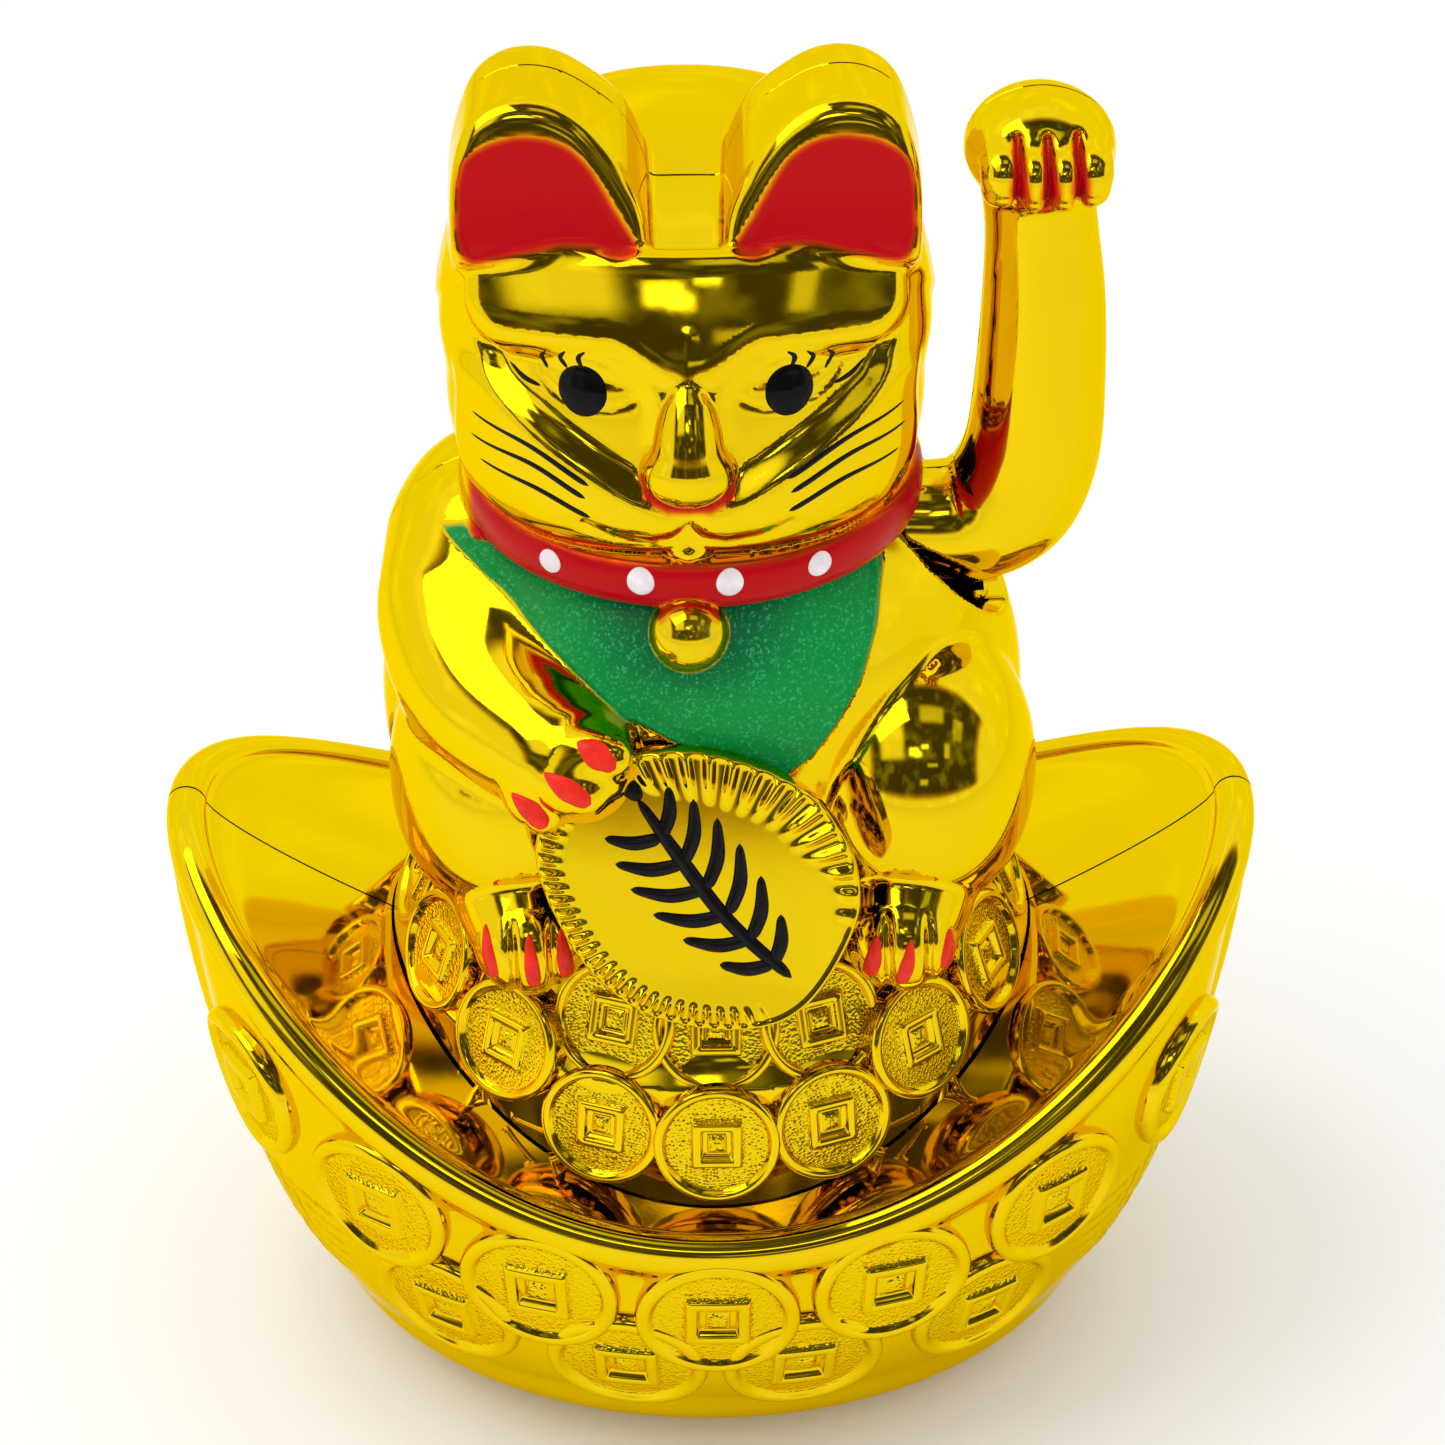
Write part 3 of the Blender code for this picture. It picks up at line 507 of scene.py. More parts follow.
def gold_plating(name, painted=False, grained=False):
    """Vacuum-plated plastic: a mirror with faint flow marks, fine dust and rubbed patches."""
    n = Finish(name)
    flow = n.noise(90, 2, stretch=(1, 1, 0.35))
    tone = n.mix(n.ramp(n.noise(45, 2), 0.35, 0.75), GOLD, DEEP_GOLD)
    base = n.mix(0.35, GOLD, tone)
    specks = n.ramp(n.cells(900), 0.10, 0.04)
    sparse = n.math("MULTIPLY", specks, n.ramp(n.noise(160, 1), 0.62, 0.72))
    base = n.mix(n.math("MULTIPLY", sparse, 0.55), base, (0.22, 0.12, 0.01))
    rough = n.ramp(n.noise(220, 4, 0.65), 0.3, 0.8, 0.045, 0.11)
    rough = n.math("ADD", rough, n.math("MULTIPLY", sparse, 0.25))
    metallic = 1.0
    layers = [(flow, 0.00012, 0.22), (n.noise(700, 2), 0.00001, 0.25)]
    if grained:
        grain = n.mark("grain")
        pebbles = n.math("MULTIPLY", n.cells(2300), grain)
        layers.append((pebbles, 0.00016, 0.8))
        rough = n.math("ADD", rough, n.math("MULTIPLY", grain, 0.12))
    if painted:
        red, green = n.mark("red"), n.mark("green")
        edge = n.math("ADD", red, n.math("MULTIPLY", n.noise(500, 2), 0.3))
        base = n.mix(n.ramp(edge, 0.75, -0.1), base, ORANGE)
        full_red = n.ramp(edge, 0.3, -0.5)
        base = n.mix(full_red, base, RED)
        edge = n.math("ADD", green, n.math("MULTIPLY", n.noise(500, 2), 0.12))
        full_green = n.ramp(edge, 0.2, -0.1)
        # painted shade: the bib's green turns darker round the bell and under the collar
        green_painted_shade = n.mix(n.ramp(n.mark("green_painted_shade"), 0.0, 1.0), GREEN, PAINTED_SHADE_GREEN)
        glitter = n.ramp(n.cells(4000, output="Color"), 0.62, 0.95)
        green_painted_shade = n.mix(n.math("MULTIPLY", glitter, 0.5), green_painted_shade, (0.05, 0.55, 0.22))
        base = n.mix(full_green, base, green_painted_shade)
        paint = n.math("MAXIMUM", full_red, full_green)
        metallic = n.math("SUBTRACT", 1.0, n.math("MULTIPLY", paint, 0.97))
        rough = n.math("ADD", rough, n.math("MULTIPLY", full_red, 0.16))
        rough = n.math("ADD", rough, n.math("MULTIPLY", full_green, 0.27))
        layers.append((n.noise(1800, 2), 0.00004, n.math("MULTIPLY", full_green, 0.7)))
    n.bump(*layers)
    n.shader.inputs["Specular Tint"].default_value = (1.0, 0.86, 0.07, 1)
    if painted:
        n.shader.inputs["Specular IOR Level"].default_value = 0.16
    return n.set(Base_Color=base, Roughness=rough, Metallic=metallic)


def gloss_paint(name, colour, rough=0.12, shine=0.22):
    """A thick brushed line of enamel."""
    n = Finish(name)
    lighter = tuple(min(1.0, c * 1.25 + 0.002) for c in colour)
    base = n.mix(n.ramp(n.noise(600, 3), 0.35, 0.75), colour, lighter)
    n.bump((n.noise(900, 2), 0.00003, 0.3))
    n.shader.inputs["Specular IOR Level"].default_value = shine
    return n.set(Base_Color=base, Roughness=n.ramp(n.noise(400, 3), 0.3, 0.7, rough, rough + 0.08))


# ---------------------------------------------------------------- cat

EAR_PAINT = ring_through([
    (17.3, 164.1), (20.7, 163.4), (23.1, 161.8), (24.0, 159.4), (24.2, 156.7), (24.2, 153.5),
    (22.7, 151.2), (19.3, 151.8), (16.3, 152.4), (13.3, 153.0), (9.9, 152.9), (7.3, 152.3),
    (5.2, 152.9), (6.0, 154.5), (7.3, 156.5), (8.9, 159.2), (10.6, 161.6), (12.7, 163.2), (14.8, 163.9),
])
EAR_FRONT = ring_through([
    (24.7, 138.0), (24.6, 148.0), (24.9, 154.5), (24.6, 159.4), (23.9, 162.6), (22.7, 164.9),
    (20.5, 166.4), (17.3, 166.9), (14.2, 166.5), (11.1, 165.0), (8.5, 162.4), (6.1, 159.2),
    (4.2, 155.2), (3.8, 149.0), (3.8, 138.0),
])
EAR_MIDDLE = ring_through([
    (25.8, 138.0), (25.7, 148.0), (25.6, 154.5), (24.9, 159.3), (22.9, 164.6), (20.2, 167.0),
    (16.9, 167.8), (13.4, 167.2), (10.0, 165.2), (7.0, 162.6), (5.0, 159.0), (4.0, 155.0), (3.8, 149.0),
    (3.8, 138.0),
])
EYE_HOLLOW = ring_through([
    (22.0, 141.6), (20.8, 138.9), (18.6, 137.0), (11.8, 133.0), (4.9, 129.2), (3.6, 131.5),
    (3.2, 136.0), (3.5, 139.4), (5.4, 141.6), (9.0, 142.6), (14.0, 142.7), (18.5, 143.0), (21.2, 143.2),
])
CHEEK_PAD = ring_through([
    (25.0, 139.0), (21.6, 138.9), (18.0, 136.9), (11.0, 132.8), (4.4, 128.9), (1.6, 127.3),
    (0.9, 124.5), (0.8, 119.0), (14.0, 117.0), (28.0, 119.0), (30.0, 130.0), (29.0, 138.0),
])
EYELID = ring_through([
    (16.0, 140.6), (13.6, 142.4), (10.6, 143.0), (7.4, 141.9), (4.9, 139.6), (7.4, 137.9),
    (10.6, 137.5), (13.8, 138.4),
])
BIB = np.array([
    (-24.6, 121.0), (-26.0, 117.3), (-30.1, 116.0), (-26.6, 114.0), (-21.4, 110.7), (-16.8, 108.0),
    (-12.6, 105.4), (-9.6, 103.2), (-4.0, 100.3), (2.0, 97.4), (7.7, 95.3), (10.6, 97.4), (13.0, 100.4),
    (16.0, 105.0), (18.0, 109.8), (18.8, 114.0), (18.4, 117.5), (17.6, 123.0),
])
BELL = (HEAD_X, -25.4, 112.6)
COLLAR_CENTRE = vec(-2.2, -1.5)
COLLAR_RADII = vec(24.0, 22.3)


def collar_place(p):
    """How far a point is outside the collar's middle line, and above it."""
    q = (p[:, :2] - COLLAR_CENTRE) / COLLAR_RADII
    k = np.linalg.norm(q, axis=1) + 1e-9
    out = (k - 1) * k / (np.linalg.norm(q / COLLAR_RADII, axis=1) + 1e-9)
    return out, p[:, 2] - (119.4 + 0.06 * (p[:, 1] - COLLAR_CENTRE[1]))


def collar(p):
    out, up = collar_place(p)
    k = ((np.abs(out) / 2.1) ** 2.4 + (np.abs(up) / 2.9) ** 2.4) ** (1 / 2.4)
    return (k - 1) * 2.3


def ear_cut(p):
    return -0.95 * (p[:, 1] + 9.6) + 0.312 * (p[:, 2] - 165.0)


def ear(p):
    """Both ears: an arch that grows towards the seam and rounds off behind it."""
    across, y = np.abs(p[:, 0] - HEAD_X), p[:, 1]
    front = outline_distance(across, p[:, 2], EAR_FRONT)
    middle = outline_distance(across, p[:, 2], EAR_MIDDLE)
    share = np.sin(np.clip((y + 11) / 13, 0, 1) * math.pi / 2)
    arch = front + (middle - front) * share
    back = np.clip((y - 3.0) / 9.0, 0, 0.999)
    arch = (arch + 9.0 * (1 - np.sqrt(1 - back**2))) * np.where(back > 0.5, 0.75, 0.95)
    d = smooth_max(arch, ear_cut(p), 1.9)
    d = smooth_max(d, y - 12.0, 1.0)
    return smooth_max(d, (149.8 - p[:, 2]) * 0.8 - (p[:, 1] + 12) * 0.6, 1.5)


def brow(p):
    """The broad roll above the eyes, tilted back, bent round the head and drawn down in a V to the nose."""
    x = np.abs(p[:, 0] - HEAD_X)
    y = p[:, 1] + 15.4 - 0.0105 * x * x
    z = p[:, 2] - 148.6 + 0.001 * x * x
    c, s = math.cos(math.radians(37)), math.sin(math.radians(37))
    slope, out = z * c + y * s, z * s - y * c
    down = 5.4 + 3.7 * ramp(x, 8.5, 0.8)
    along = np.maximum(slope - 3.0, -slope - down)
    out = out + 0.010 * slope**2 + 0.05 * np.maximum(along + 2.0, 0) ** 2
    corner = 3.0
    edge = np.hypot(np.maximum(x - 21.9 + corner, 0), np.maximum(along + corner, 0)) - corner
    edge = np.hypot(np.maximum(edge, 0), np.maximum(np.abs(out - 0.4) - 0.8, 0))
    return (edge - 1.6) * 0.9


def hollow_relief(p):
    """The face sinks round the eyes and stands out in two pads beside the nose."""
    across, up = np.abs(p[:, 0] - HEAD_X), p[:, 2]
    front = ramp(p[:, 1], -8, -12)
    height = -1.6 * ramp(outline_distance(across, up, EYE_HOLLOW), 1.0, -2.4)
    height += 0.7 * ramp(outline_distance(across, up, CHEEK_PAD), 1.2, -1.8)
    return height * front


def face_relief(p):
    """Lids, the parting under the nose, the mouth and the painted hollow of the ears."""
    across, up = np.abs(p[:, 0] - HEAD_X), p[:, 2]
    front = ramp(p[:, 1], -9, -12)
    lid = outline_distance(across, up, EYELID)
    height = 0.25 * ramp(lid, 0.7, -2.6) - 0.10 * np.exp(-((lid / 0.45) ** 2))
    mouth = line_distance(across, up, [(0, 125.4), (1.4, 124.2), (4.0, 123.6), (8.0, 124.2), (11.0, 125.4)])
    height -= 0.3 * np.exp(-((mouth / 0.9) ** 2))
    height -= 0.55 * ramp(outline_distance(across, up, EAR_PAINT), 0.3, -1.2)
    return height * front


def bib_relief(p):
    edge = outline_distance(p[:, 0], p[:, 2], BIB)
    height = 0.8 * ramp(edge, 0.25, -0.55) + 0.28 * np.exp(-(((edge + 0.75) / 0.38) ** 2))
    return height * ramp(p[:, 1], -1.0, -4.0)


def toe_grooves(p):
    height = np.zeros(len(p))
    for x in (-22.6, -18.3, 19.3, 23.8):
        height -= 0.8 * np.exp(-(((p[:, 0] - x + 0.04 * (p[:, 2] - 75)) / 0.55) ** 2))
    return height * ramp(p[:, 1], -31.0, -34.0) * ramp(p[:, 2], 81.0, 77.0)


LOWERED_ARM = [
    sweep([
        (-27, 0, 109, 9.5), (-28.5, -8, 104, 9.4), (-25.5, -19, 100.5, 8.6), (-19, -27.5, 99.5, 7.2),
        (-14.8, -31.5, 99, 6.0),
    ]),
    sweep([
        (-24, -6, 106.5, 9.4), (-21.0, -15, 102.5, 8.6), (-17.0, -23, 100.0, 7.0), (-14.5, -28, 99.5, 5.5),
    ]),
    sweep([(-17.0, -31, 100.5, 3.6), (-13.6, -33.6, 102.4, 3.1), (-11.2, -34.6, 102.6, 2.3)], 41),
    sweep([(-18.0, -31, 99.0, 3.8), (-16.2, -34.0, 98.8, 3.3), (-14.2, -35.6, 98.6, 2.4)], 41),
    sweep([(-20.0, -29, 97.0, 3.8), (-20.0, -32.4, 96.0, 3.3), (-18.8, -34.2, 95.0, 2.4)], 41),
]


def crown(p):
    """The gentle rise of the top of the head, from the brow back."""
    x = p[:, 0] - HEAD_X
    return (p[:, 2] - 151.2 + 0.004 * x * x) * 0.963 - (p[:, 1] + 13) * 0.268


def cat_form():
    """Body, haunches, feet, tail, neck, bib, collar, bell and lowered arm, with the head on top."""
    cat = Form()
    cat.add(blob((-1, 2, 88), (37.5, 29.5, 38)), 0.5)
    cat.add(blob((0, -12, 100), (24, 17, 19)), 3)
    cat.add(blob((-24, 2, 105), (13.6, 17, 16)), 2.5)
    for side in (-1, 1):
        cat.add(blob((23 * side, -13, 87), (14, 18, 17), 2.1), 0.9)
        foot = [(22.6 * side, -17, 79, 8.4), (22 * side, -24, 77, 7.9), (21 * side, -30, 74.6, 6.4)]
        cat.add(sweep(foot), 0.8)
    tail = [(9, 29, 74, 4.5), (1, 33.5, 80, 4.5), (-3, 32, 92, 4.0)]
    cat.add(sweep(tail), 1.5)
    cat.add(blob((-2.5, -1.5, 119), (21.8, 20.2, 7), 2.6), 0.5)
    cat.raised((-36, -60, 90), (24, 0, 124), bib_relief)
    cat.add((collar, vec(-29, -26, 114), vec(24, 23, 124)), 0.25)
    cat.add(blob(BELL, (4.3, 4.3, 4.3)), 0.2)
    for shape, blend in zip(LOWERED_ARM, (1.5, 3.0, 1.0, 1.0, 1.0)):
        cat.add(shape, blend)
    head = head_form()
    cat.change((-36, -36, 114), (30, 40, 175), lambda d, p: smooth_min(d, head(p), 0.3))
    cat.raised((-30, -45, 68), (32, -28, 84), toe_grooves)
    return cat


def head_form():
    """The skull, brow, ears, chin and nose; the two skull masses overlap behind the eyes."""
    head = Form()
    head.add(blob((HEAD_X, 2.9, 133.6), (26.7, 26.9, 15.6), 2.4, tall=3.4, lean=0.2), 0.5)
    head.add(blob((HEAD_X, 1.5, 142), (26.6, 17.0, 11), 3.2), 3.0)
    head.add(blob((HEAD_X, 11, 139), (25.8, 22, 21), 2.2, front_depth=27), 3)
    head.change((-34, -36, 140), (28, 40, 175), lambda d, p: smooth_max(d, crown(p), 4.0))
    head.raised((-34, -60, 118), (28, 0, 170), hollow_relief)
    head.add((brow, vec(-31, -24, 138), vec(26, -2, 156)), 1.0)
    head.add((ear, vec(HEAD_X - 27, -17, 140), vec(HEAD_X + 27, 13, 169)), 1.0)
    head.add(blob((HEAD_X, -22.6, 121.5), (2.2, 2.0, 1.3)), 1.0)
    head.raised((-34, -60, 118), (28, 0, 170), face_relief)
    bridge = [
        (HEAD_X, -18.8, 145, 1.7), (HEAD_X, -20.9, 141.2, 1.6), (HEAD_X, -22.4, 138.6, 2.7),
        (HEAD_X, -23.9, 135.6, 3.4), (HEAD_X, -24.8, 132.6, 3.7),
    ]
    head.add(sweep(bridge, 81), 0.7)
    head.add(blob((HEAD_X, -24.3, 131.6), (4.7, 3.6, 3.0), 2.2), 1.4)
    return head


def shoulder_opening(p):
    radial = np.hypot(p[:, 1], p[:, 2] - 110.5) - 10
    return np.maximum(radial, 14 - p[:, 0])


def paint_marks(p):
    """Signed distances to the painted areas of the front half, in millimetres, and a share of painted shade
    that darkens the green round the bell and under the collar.
    """
    across, up = np.abs(p[:, 0] - HEAD_X), p[:, 2]
    front = p[:, 1] < -0.4
    red = np.full(len(p), BARE)
    high = (up > 146) & (p[:, 1] < -6)
    red[high] = outline_distance(across[high], up[high], EAR_PAINT)
    out, rise = collar_place(p)
    band = np.maximum(np.abs(rise) - 2.8, np.maximum(-out - 1.2, out - 3.6))
    band = np.maximum(band, -26.9 - p[:, 0])
    arm = np.min([shape[0](p) for shape in LOWERED_ARM], axis=0)
    bell = 4.4 - np.linalg.norm(p - vec(*BELL), axis=1)
    near = (up > 112) & (up < 125) & front
    red[near] = np.minimum(red[near], np.maximum(np.maximum(band, bell), 0.5 - arm)[near])
    nose = (up > 126) & (up < 134) & (p[:, 1] < -20)
    under_nose = [(4.9, 130.8), (4.2, 129.3), (2.2, 128.4), (0, 128.1)]
    crescent = line_distance(across, up, under_nose, (0.3, 0.7, 0.85, 0.85))
    red[nose] = np.minimum(red[nose], crescent[nose])
    green = np.full(len(p), BARE)
    chest = (up > 92) & (up < 122) & front
    bib = outline_distance(p[chest, 0], up[chest], BIB)
    beside = np.minimum(rise + 2.7, 2.6 - out)[chest]
    green[chest] = np.maximum.reduce([bib, beside, bell[chest], 0.6 - arm[chest]])
    # painted shade: the green is darkened round the bell and just under the collar
    round_bell = np.hypot((p[:, 0] - HEAD_X) * 0.7, up - 114.5)
    green_painted_shade = ramp(round_bell, 12, 3) * 0.85
    return {"red": red, "green": green, "green_painted_shade": green_painted_shade}


def cat_half(name, side, cat, gold):
    half = Form(cat.steps).kept(beyond_seam(side), 0.05)
    half.cut((shoulder_opening, vec(14, -10, 100), vec(60, 10, 121)), 0.5)
    half.kept(lambda p: CAT_FOOT - p[:, 2], 0.2)
    box = ((-40, -44 if side < 0 else -2, 68), (40, 2 if side < 0 else 42, 169))

    def closes_end(middle, facing):
        return (facing[:, 2] < -0.9) & (middle[:, 2] < 69) | (shoulder_opening(middle) < 0)

    outer, inner = moulding(cat, half, side, WALL, box, (FINE, 1.8), lambda p: 68.0 - p[:, 2], closes_end)
    parts = [outer, inner]
    if side > 0:
        for x in (-2.5, 10.0):
            parts.append(boss((x, 14.3, 107), (x, 27.5, 107), 3.0, 1.4, 8.0))
    p, f, n = joined(*parts)
    marks = paint_marks(p)
    unpainted = np.arange(len(p)) >= (len(outer[0]) if side < 0 else 0)
    marks["red"][unpainted] = marks["green"][unpainted] = BARE
    piece(name, p, f, gold, stands_for=[name + "_shell"], normals=n, marks=marks)


def boss(start, end, radius, hole, depth):
    """A round post with a blind screw hole in its first end."""
    sides = 24
    start, end = vec(*start), vec(*end)
    along = (end - start) / np.linalg.norm(end - start)
    across = np.cross(along, vec(0, 0, 1)) if abs(along[2]) < 0.9 else vec(1, 0, 0)
    across /= np.linalg.norm(across)
    other = np.cross(along, across)
    length = np.linalg.norm(end - start)
    profile = [  # how far along, radius, and which way it faces: 1 on, -1 back, 0 out, 2 in
        (length, 0.0, 1), (length, radius, 1), (0.3, radius, 0), (0.0, radius - 0.3, -1),
        (0.0, hole + 0.2, -1), (0.2, hole, 2), (depth, hole, 2), (depth, 0.0, -1),
    ]
    turns = np.linspace(0, math.tau, sides, endpoint=False)
    rows, normals = [], []
    for at, r, kind in profile:
        ring = np.cos(turns)[:, None] * across + np.sin(turns)[:, None] * other
        rows.append(start + along * at + ring * max(r, 1e-3))
        faced = {0: ring, 1: ring * 0.5 + along * 0.5, -1: np.repeat(-along[None], sides, 0), 2: -ring}
        normals.append(faced[kind])
    p, n = np.vstack(rows), np.vstack(normals)
    f = grid_faces(len(rows), sides, close_columns=True)
    a, b, c = (p[f[sides, i]] for i in range(3))
    out = a - start - along * (along @ (a - start))
    if np.cross(b - a, c - a) @ out < 0:
        f = f[:, ::-1]
    return p, f, n / np.linalg.norm(n, axis=1, keepdims=True)


# ---------------------------------------------------------------- coins

# rows from the middle of a square-holed coin to its edge: share of the radius, roundness, height, grain
COIN_ROWS = [
    (0.004, 0, -0.28, 1), (0.06, 0, -0.28, 1), (0.115, 0, -0.32, 1), (0.135, 0, -0.62, 0),
    (0.225, 0, -0.66, 0), (0.245, 0, -0.12, 0), (0.265, 0, 0.02, 0), (0.355, 0, 0.03, 0),
    (0.38, 0, -0.08, 0), (0.40, 0, -0.5, 1), (0.48, 0.2, -0.5, 1), (0.56, 0.45, -0.5, 1),
    (0.66, 0.7, -0.5, 1), (0.76, 0.92, -0.5, 1), (0.84, 1, -0.5, 1), (0.858, 1, -0.42, 0),
    (0.878, 1, -0.08, 0), (0.90, 1, 0.06, 0), (0.935, 1, 0.10, 0), (0.965, 1, 0.04, 0),
    (0.985, 1, -0.12, 0), (0.997, 1, -0.40, 0), (1.0, 1, -0.80, 0), (1.0, 1, -1.6, 0), (1.0, 1, -3.0, 0),
    (0.5, 1, -3.0, 0), (0.004, 1, -3.0, 0),
]


def coin(radius, rim, lift, around=64):
    """Points of one coin over its own plane: u, v, height, grain. rim is where its border starts."""
    turns = np.linspace(0, math.tau, around, endpoint=False)
    circle = np.stack([np.cos(turns), np.sin(turns)], 1)
    square = circle / np.abs(circle).max(1, keepdims=True)
    rows = []
    for share, round_, height, grain in COIN_ROWS:
        if share > 0.4:
            share = np.interp(share, (0.4, 0.84, 1.0), (0.4, rim, 1.0))
        flat = (square * (1 - round_) + circle * round_) * share * radius
        rows.append(np.column_stack([flat, np.full(around, height * lift), np.full(around, grain)]))
    return np.vstack(rows), grid_faces(len(rows), around, close_columns=True)


MOUND_RINGS = np.array(
    [(38.0, 38.6, 37.6), (58.0, 38.6, 37.6), (62.0, 36.8, 35.6), (66.0, 34.3, 32.8), (70.3, 29.9, 28.9)]
)
MOUND_COINS = [
    # place round the mound from the front (degrees), height, how far out, tilt back
    (0, 51.8, 2.6, 12), (-20, 52.3, 1.8, 12), (20, 52.6, 1.9, 12),
    (-39.5, 59.3, 1.5, 18), (38.5, 59.3, 1.5, 18),
    (0, 63.8, 0.3, 24), (-20, 64.0, 0.5, 24), (20.5, 63.8, 0.5, 24),
    (-63, 62.4, 0.8, 20), (62, 61.9, 0.8, 20), (-85, 64.6, 0.5, 24), (86, 64.4, 0.5, 24),
    (-43, 67.0, -2.2, 34), (43, 67.0, -2.2, 34),
    (-35, 50.2, 0.0, 8), (35, 50.4, 0.0, 8), (-55, 53.0, -0.3, 10), (56, 53.0, -0.3, 10),
]
MOUND_COINS += [(180 - turn, z, out, tilt) for turn, z, out, tilt in MOUND_COINS if abs(turn) < 80]


def mound_ring(z):
    """Half width and half depth of the mound at a height."""
    return [np.interp(z, MOUND_RINGS[:, 0], MOUND_RINGS[:, i]) for i in (1, 2)]


def mound_body(p):
    half_x, half_y = mound_ring(p[:, 2])
    k = np.hypot(p[:, 0] / half_x, p[:, 1] / half_y)
    inset = 0.9 * ramp(p[:, 2], 57, 61)
    return smooth_max((k - 1) * half_y * 0.92 + inset, p[:, 2] - 70.0, 1.2)


def mound_coins(name, side, gold):
    parts, grains = [], []
    for turn, z, out, tilt in MOUND_COINS:
        angle = math.radians(turn - 90)
        flat = vec(math.cos(angle), math.sin(angle), 0)
        if flat[1] * side < 0:
            continue
        half_x, half_y = mound_ring(z)
        reach = 1 / math.hypot(flat[0] / half_x, flat[1] / half_y)
        lean = math.radians(tilt)
        normal = flat * math.cos(lean) + vec(0, 0, math.sin(lean))
        across = vec(-flat[1], flat[0], 0)
        up = np.cross(normal, across)
        rows, faces = coin(7.35, 0.79, 1.35)
        u, v, height, grain = rows.T
        middle = flat * (reach + out - 1.6)
        p = middle + vec(0, 0, z) + u[:, None] * across + v[:, None] * up + (
            height + 1.35
        )[:, None] * normal
        parts.append((p, faces, np.repeat(normal[None], len(p), 0)))
        grains.append(grain)
    p, f, _ = joined(*parts)
    piece(name, p, f, gold, marks={"grain": np.concatenate(grains)})


def coin_mound(gold):
    step = 0.7
    top_x, top_y = 27.0, 26.0  # half axes of the opening under the cat
    mound = Form()
    mound.change((-60, -60, 30), (60, 60, 90), lambda d, p: mound_body(p))
    for end, side in (("front", -1), ("rear", 1)):
        half = Form(mound.steps).kept(beyond_seam(side), 0.2)
        half.kept(lambda p: MOUND_FOOT - p[:, 2], 0.2)
        low = (-46, -46 if side < 0 else -1.5, 38.5)
        high = (46, 1.5 if side < 0 else 46, 74)
        p, f, n = skin(half, low, high, step)
        middle, facing = p[f].mean(1), n[f].mean(1)
        inside = np.hypot(middle[:, 0] / 36.3, middle[:, 1] / 35.3) < 1
        foot = (middle[:, 2] < 60) & (facing[:, 2] < -0.8)
        parting = (np.abs(facing[:, 1]) > 0.9) & (np.abs(middle[:, 1]) < 0.6) & (middle[:, 2] < 68)
        gone = inside & (foot | parting)
        gone |= (np.hypot(middle[:, 0] / top_x, middle[:, 1] / top_y) < 1) & (facing[:, 2] > 0.8)
        outer = keep_faces(p, f, n, ~gone)
        turns = np.linspace(0, math.pi, 60) + (math.pi if side < 0 else 0)
        heights = np.append(np.linspace(MOUND_FOOT, 66, 10), [68.0, 68.0])
        rows, normals = [], []
        for i, z in enumerate(heights):
            half_x, half_y = [r - 2.6 for r in mound_ring(z)] if i < len(heights) - 1 else (top_x, top_y)
            y = np.sin(turns) * half_y
            y = np.where(np.abs(y) < SEAM, SEAM * side, y)
            rows.append(np.stack([np.cos(turns) * half_x, y, np.full(60, z)], 1))
            normals.append(np.stack([-np.cos(turns), -np.sin(turns), np.full(60, -0.2 if i > 8 else 0)], 1))
        inner = (np.vstack(rows), grid_faces(len(rows), 60)[:, ::-1], np.vstack(normals))
        p, f, n = joined(outer, inner)
        marks = {"grain": np.zeros(len(p))}
        piece("coin_mound_" + end, p, f, gold, stands_for=[f"cat_{end}_shell"], normals=n, marks=marks)
        mound_coins("mound_coins_" + end, side, gold)


# ---------------------------------------------------------------- ingot

HULL_COINS = [
    # centre, and layer: the upper row lies over the lower one
    ((-33.0, -37.2, 24.0), 0), ((-11.0, -43.6, 20.4), 0), ((10.4, -43.6, 20.4), 0),
    ((32.6, -37.2, 23.6), 0), ((-57.0, -21.0, 45.5), 1), ((-40.2, -36.2, 40.0), 1),
    ((-20.9, -43.9, 33.4), 1), ((20.8, -44.1, 33.6), 1), ((40.4, -35.9, 39.6), 1),
    ((57.6, -19.0, 44.5), 1), ((0.0, -46.4, 30.6), 2),
]


def ingot_section(angle, hull_steps, lip_steps, floor_steps):
    """Points from the foot, up the hull, over the rolled rim and down to the mound."""
    lip = 2.3
    cos, sin = math.cos(angle), math.sin(angle)
    rim = vec(HULL_X * cos, HULL_Y * sin, 43 + 32 * abs(cos) ** 2.1)
    outward = vec(rim[0], rim[1], 0)
    outward /= np.linalg.norm(outward)
    foot = vec(36 * cos, 27 * sin, 2.3)
    top = rim - vec(0, 0, lip)
    points = []
    for turn in np.linspace(math.pi / 2, 0, hull_steps, endpoint=False):
        p = foot + (top - foot) * math.cos(turn) ** 0.85
        p[2] = foot[2] + (top[2] - foot[2]) * (1 - math.sin(turn) ** 1.15)
        points.append(p)
    centre = top - outward * lip
    for turn in np.linspace(0, math.pi, lip_steps):
        points.append(centre + outward * lip * math.cos(turn) + vec(0, 0, lip * math.sin(turn)))
    edge = vec(38.9 * cos, 37.9 * sin, 41 + 16 * cos * cos)
    start = points[-1]
    for share in np.linspace(0, 1, floor_steps + 1)[1:]:
        p = start + (edge - start) * share
        p[2] = start[2] + (edge[2] - start[2]) * share**0.8
        points.append(p)
    return np.array(points)


def cubic_terms(u, v):
    return np.stack([u * 0 + 1, u, v, u * u, u * v, v * v, u**3, u * u * v, u * v * v, v**3], 1)


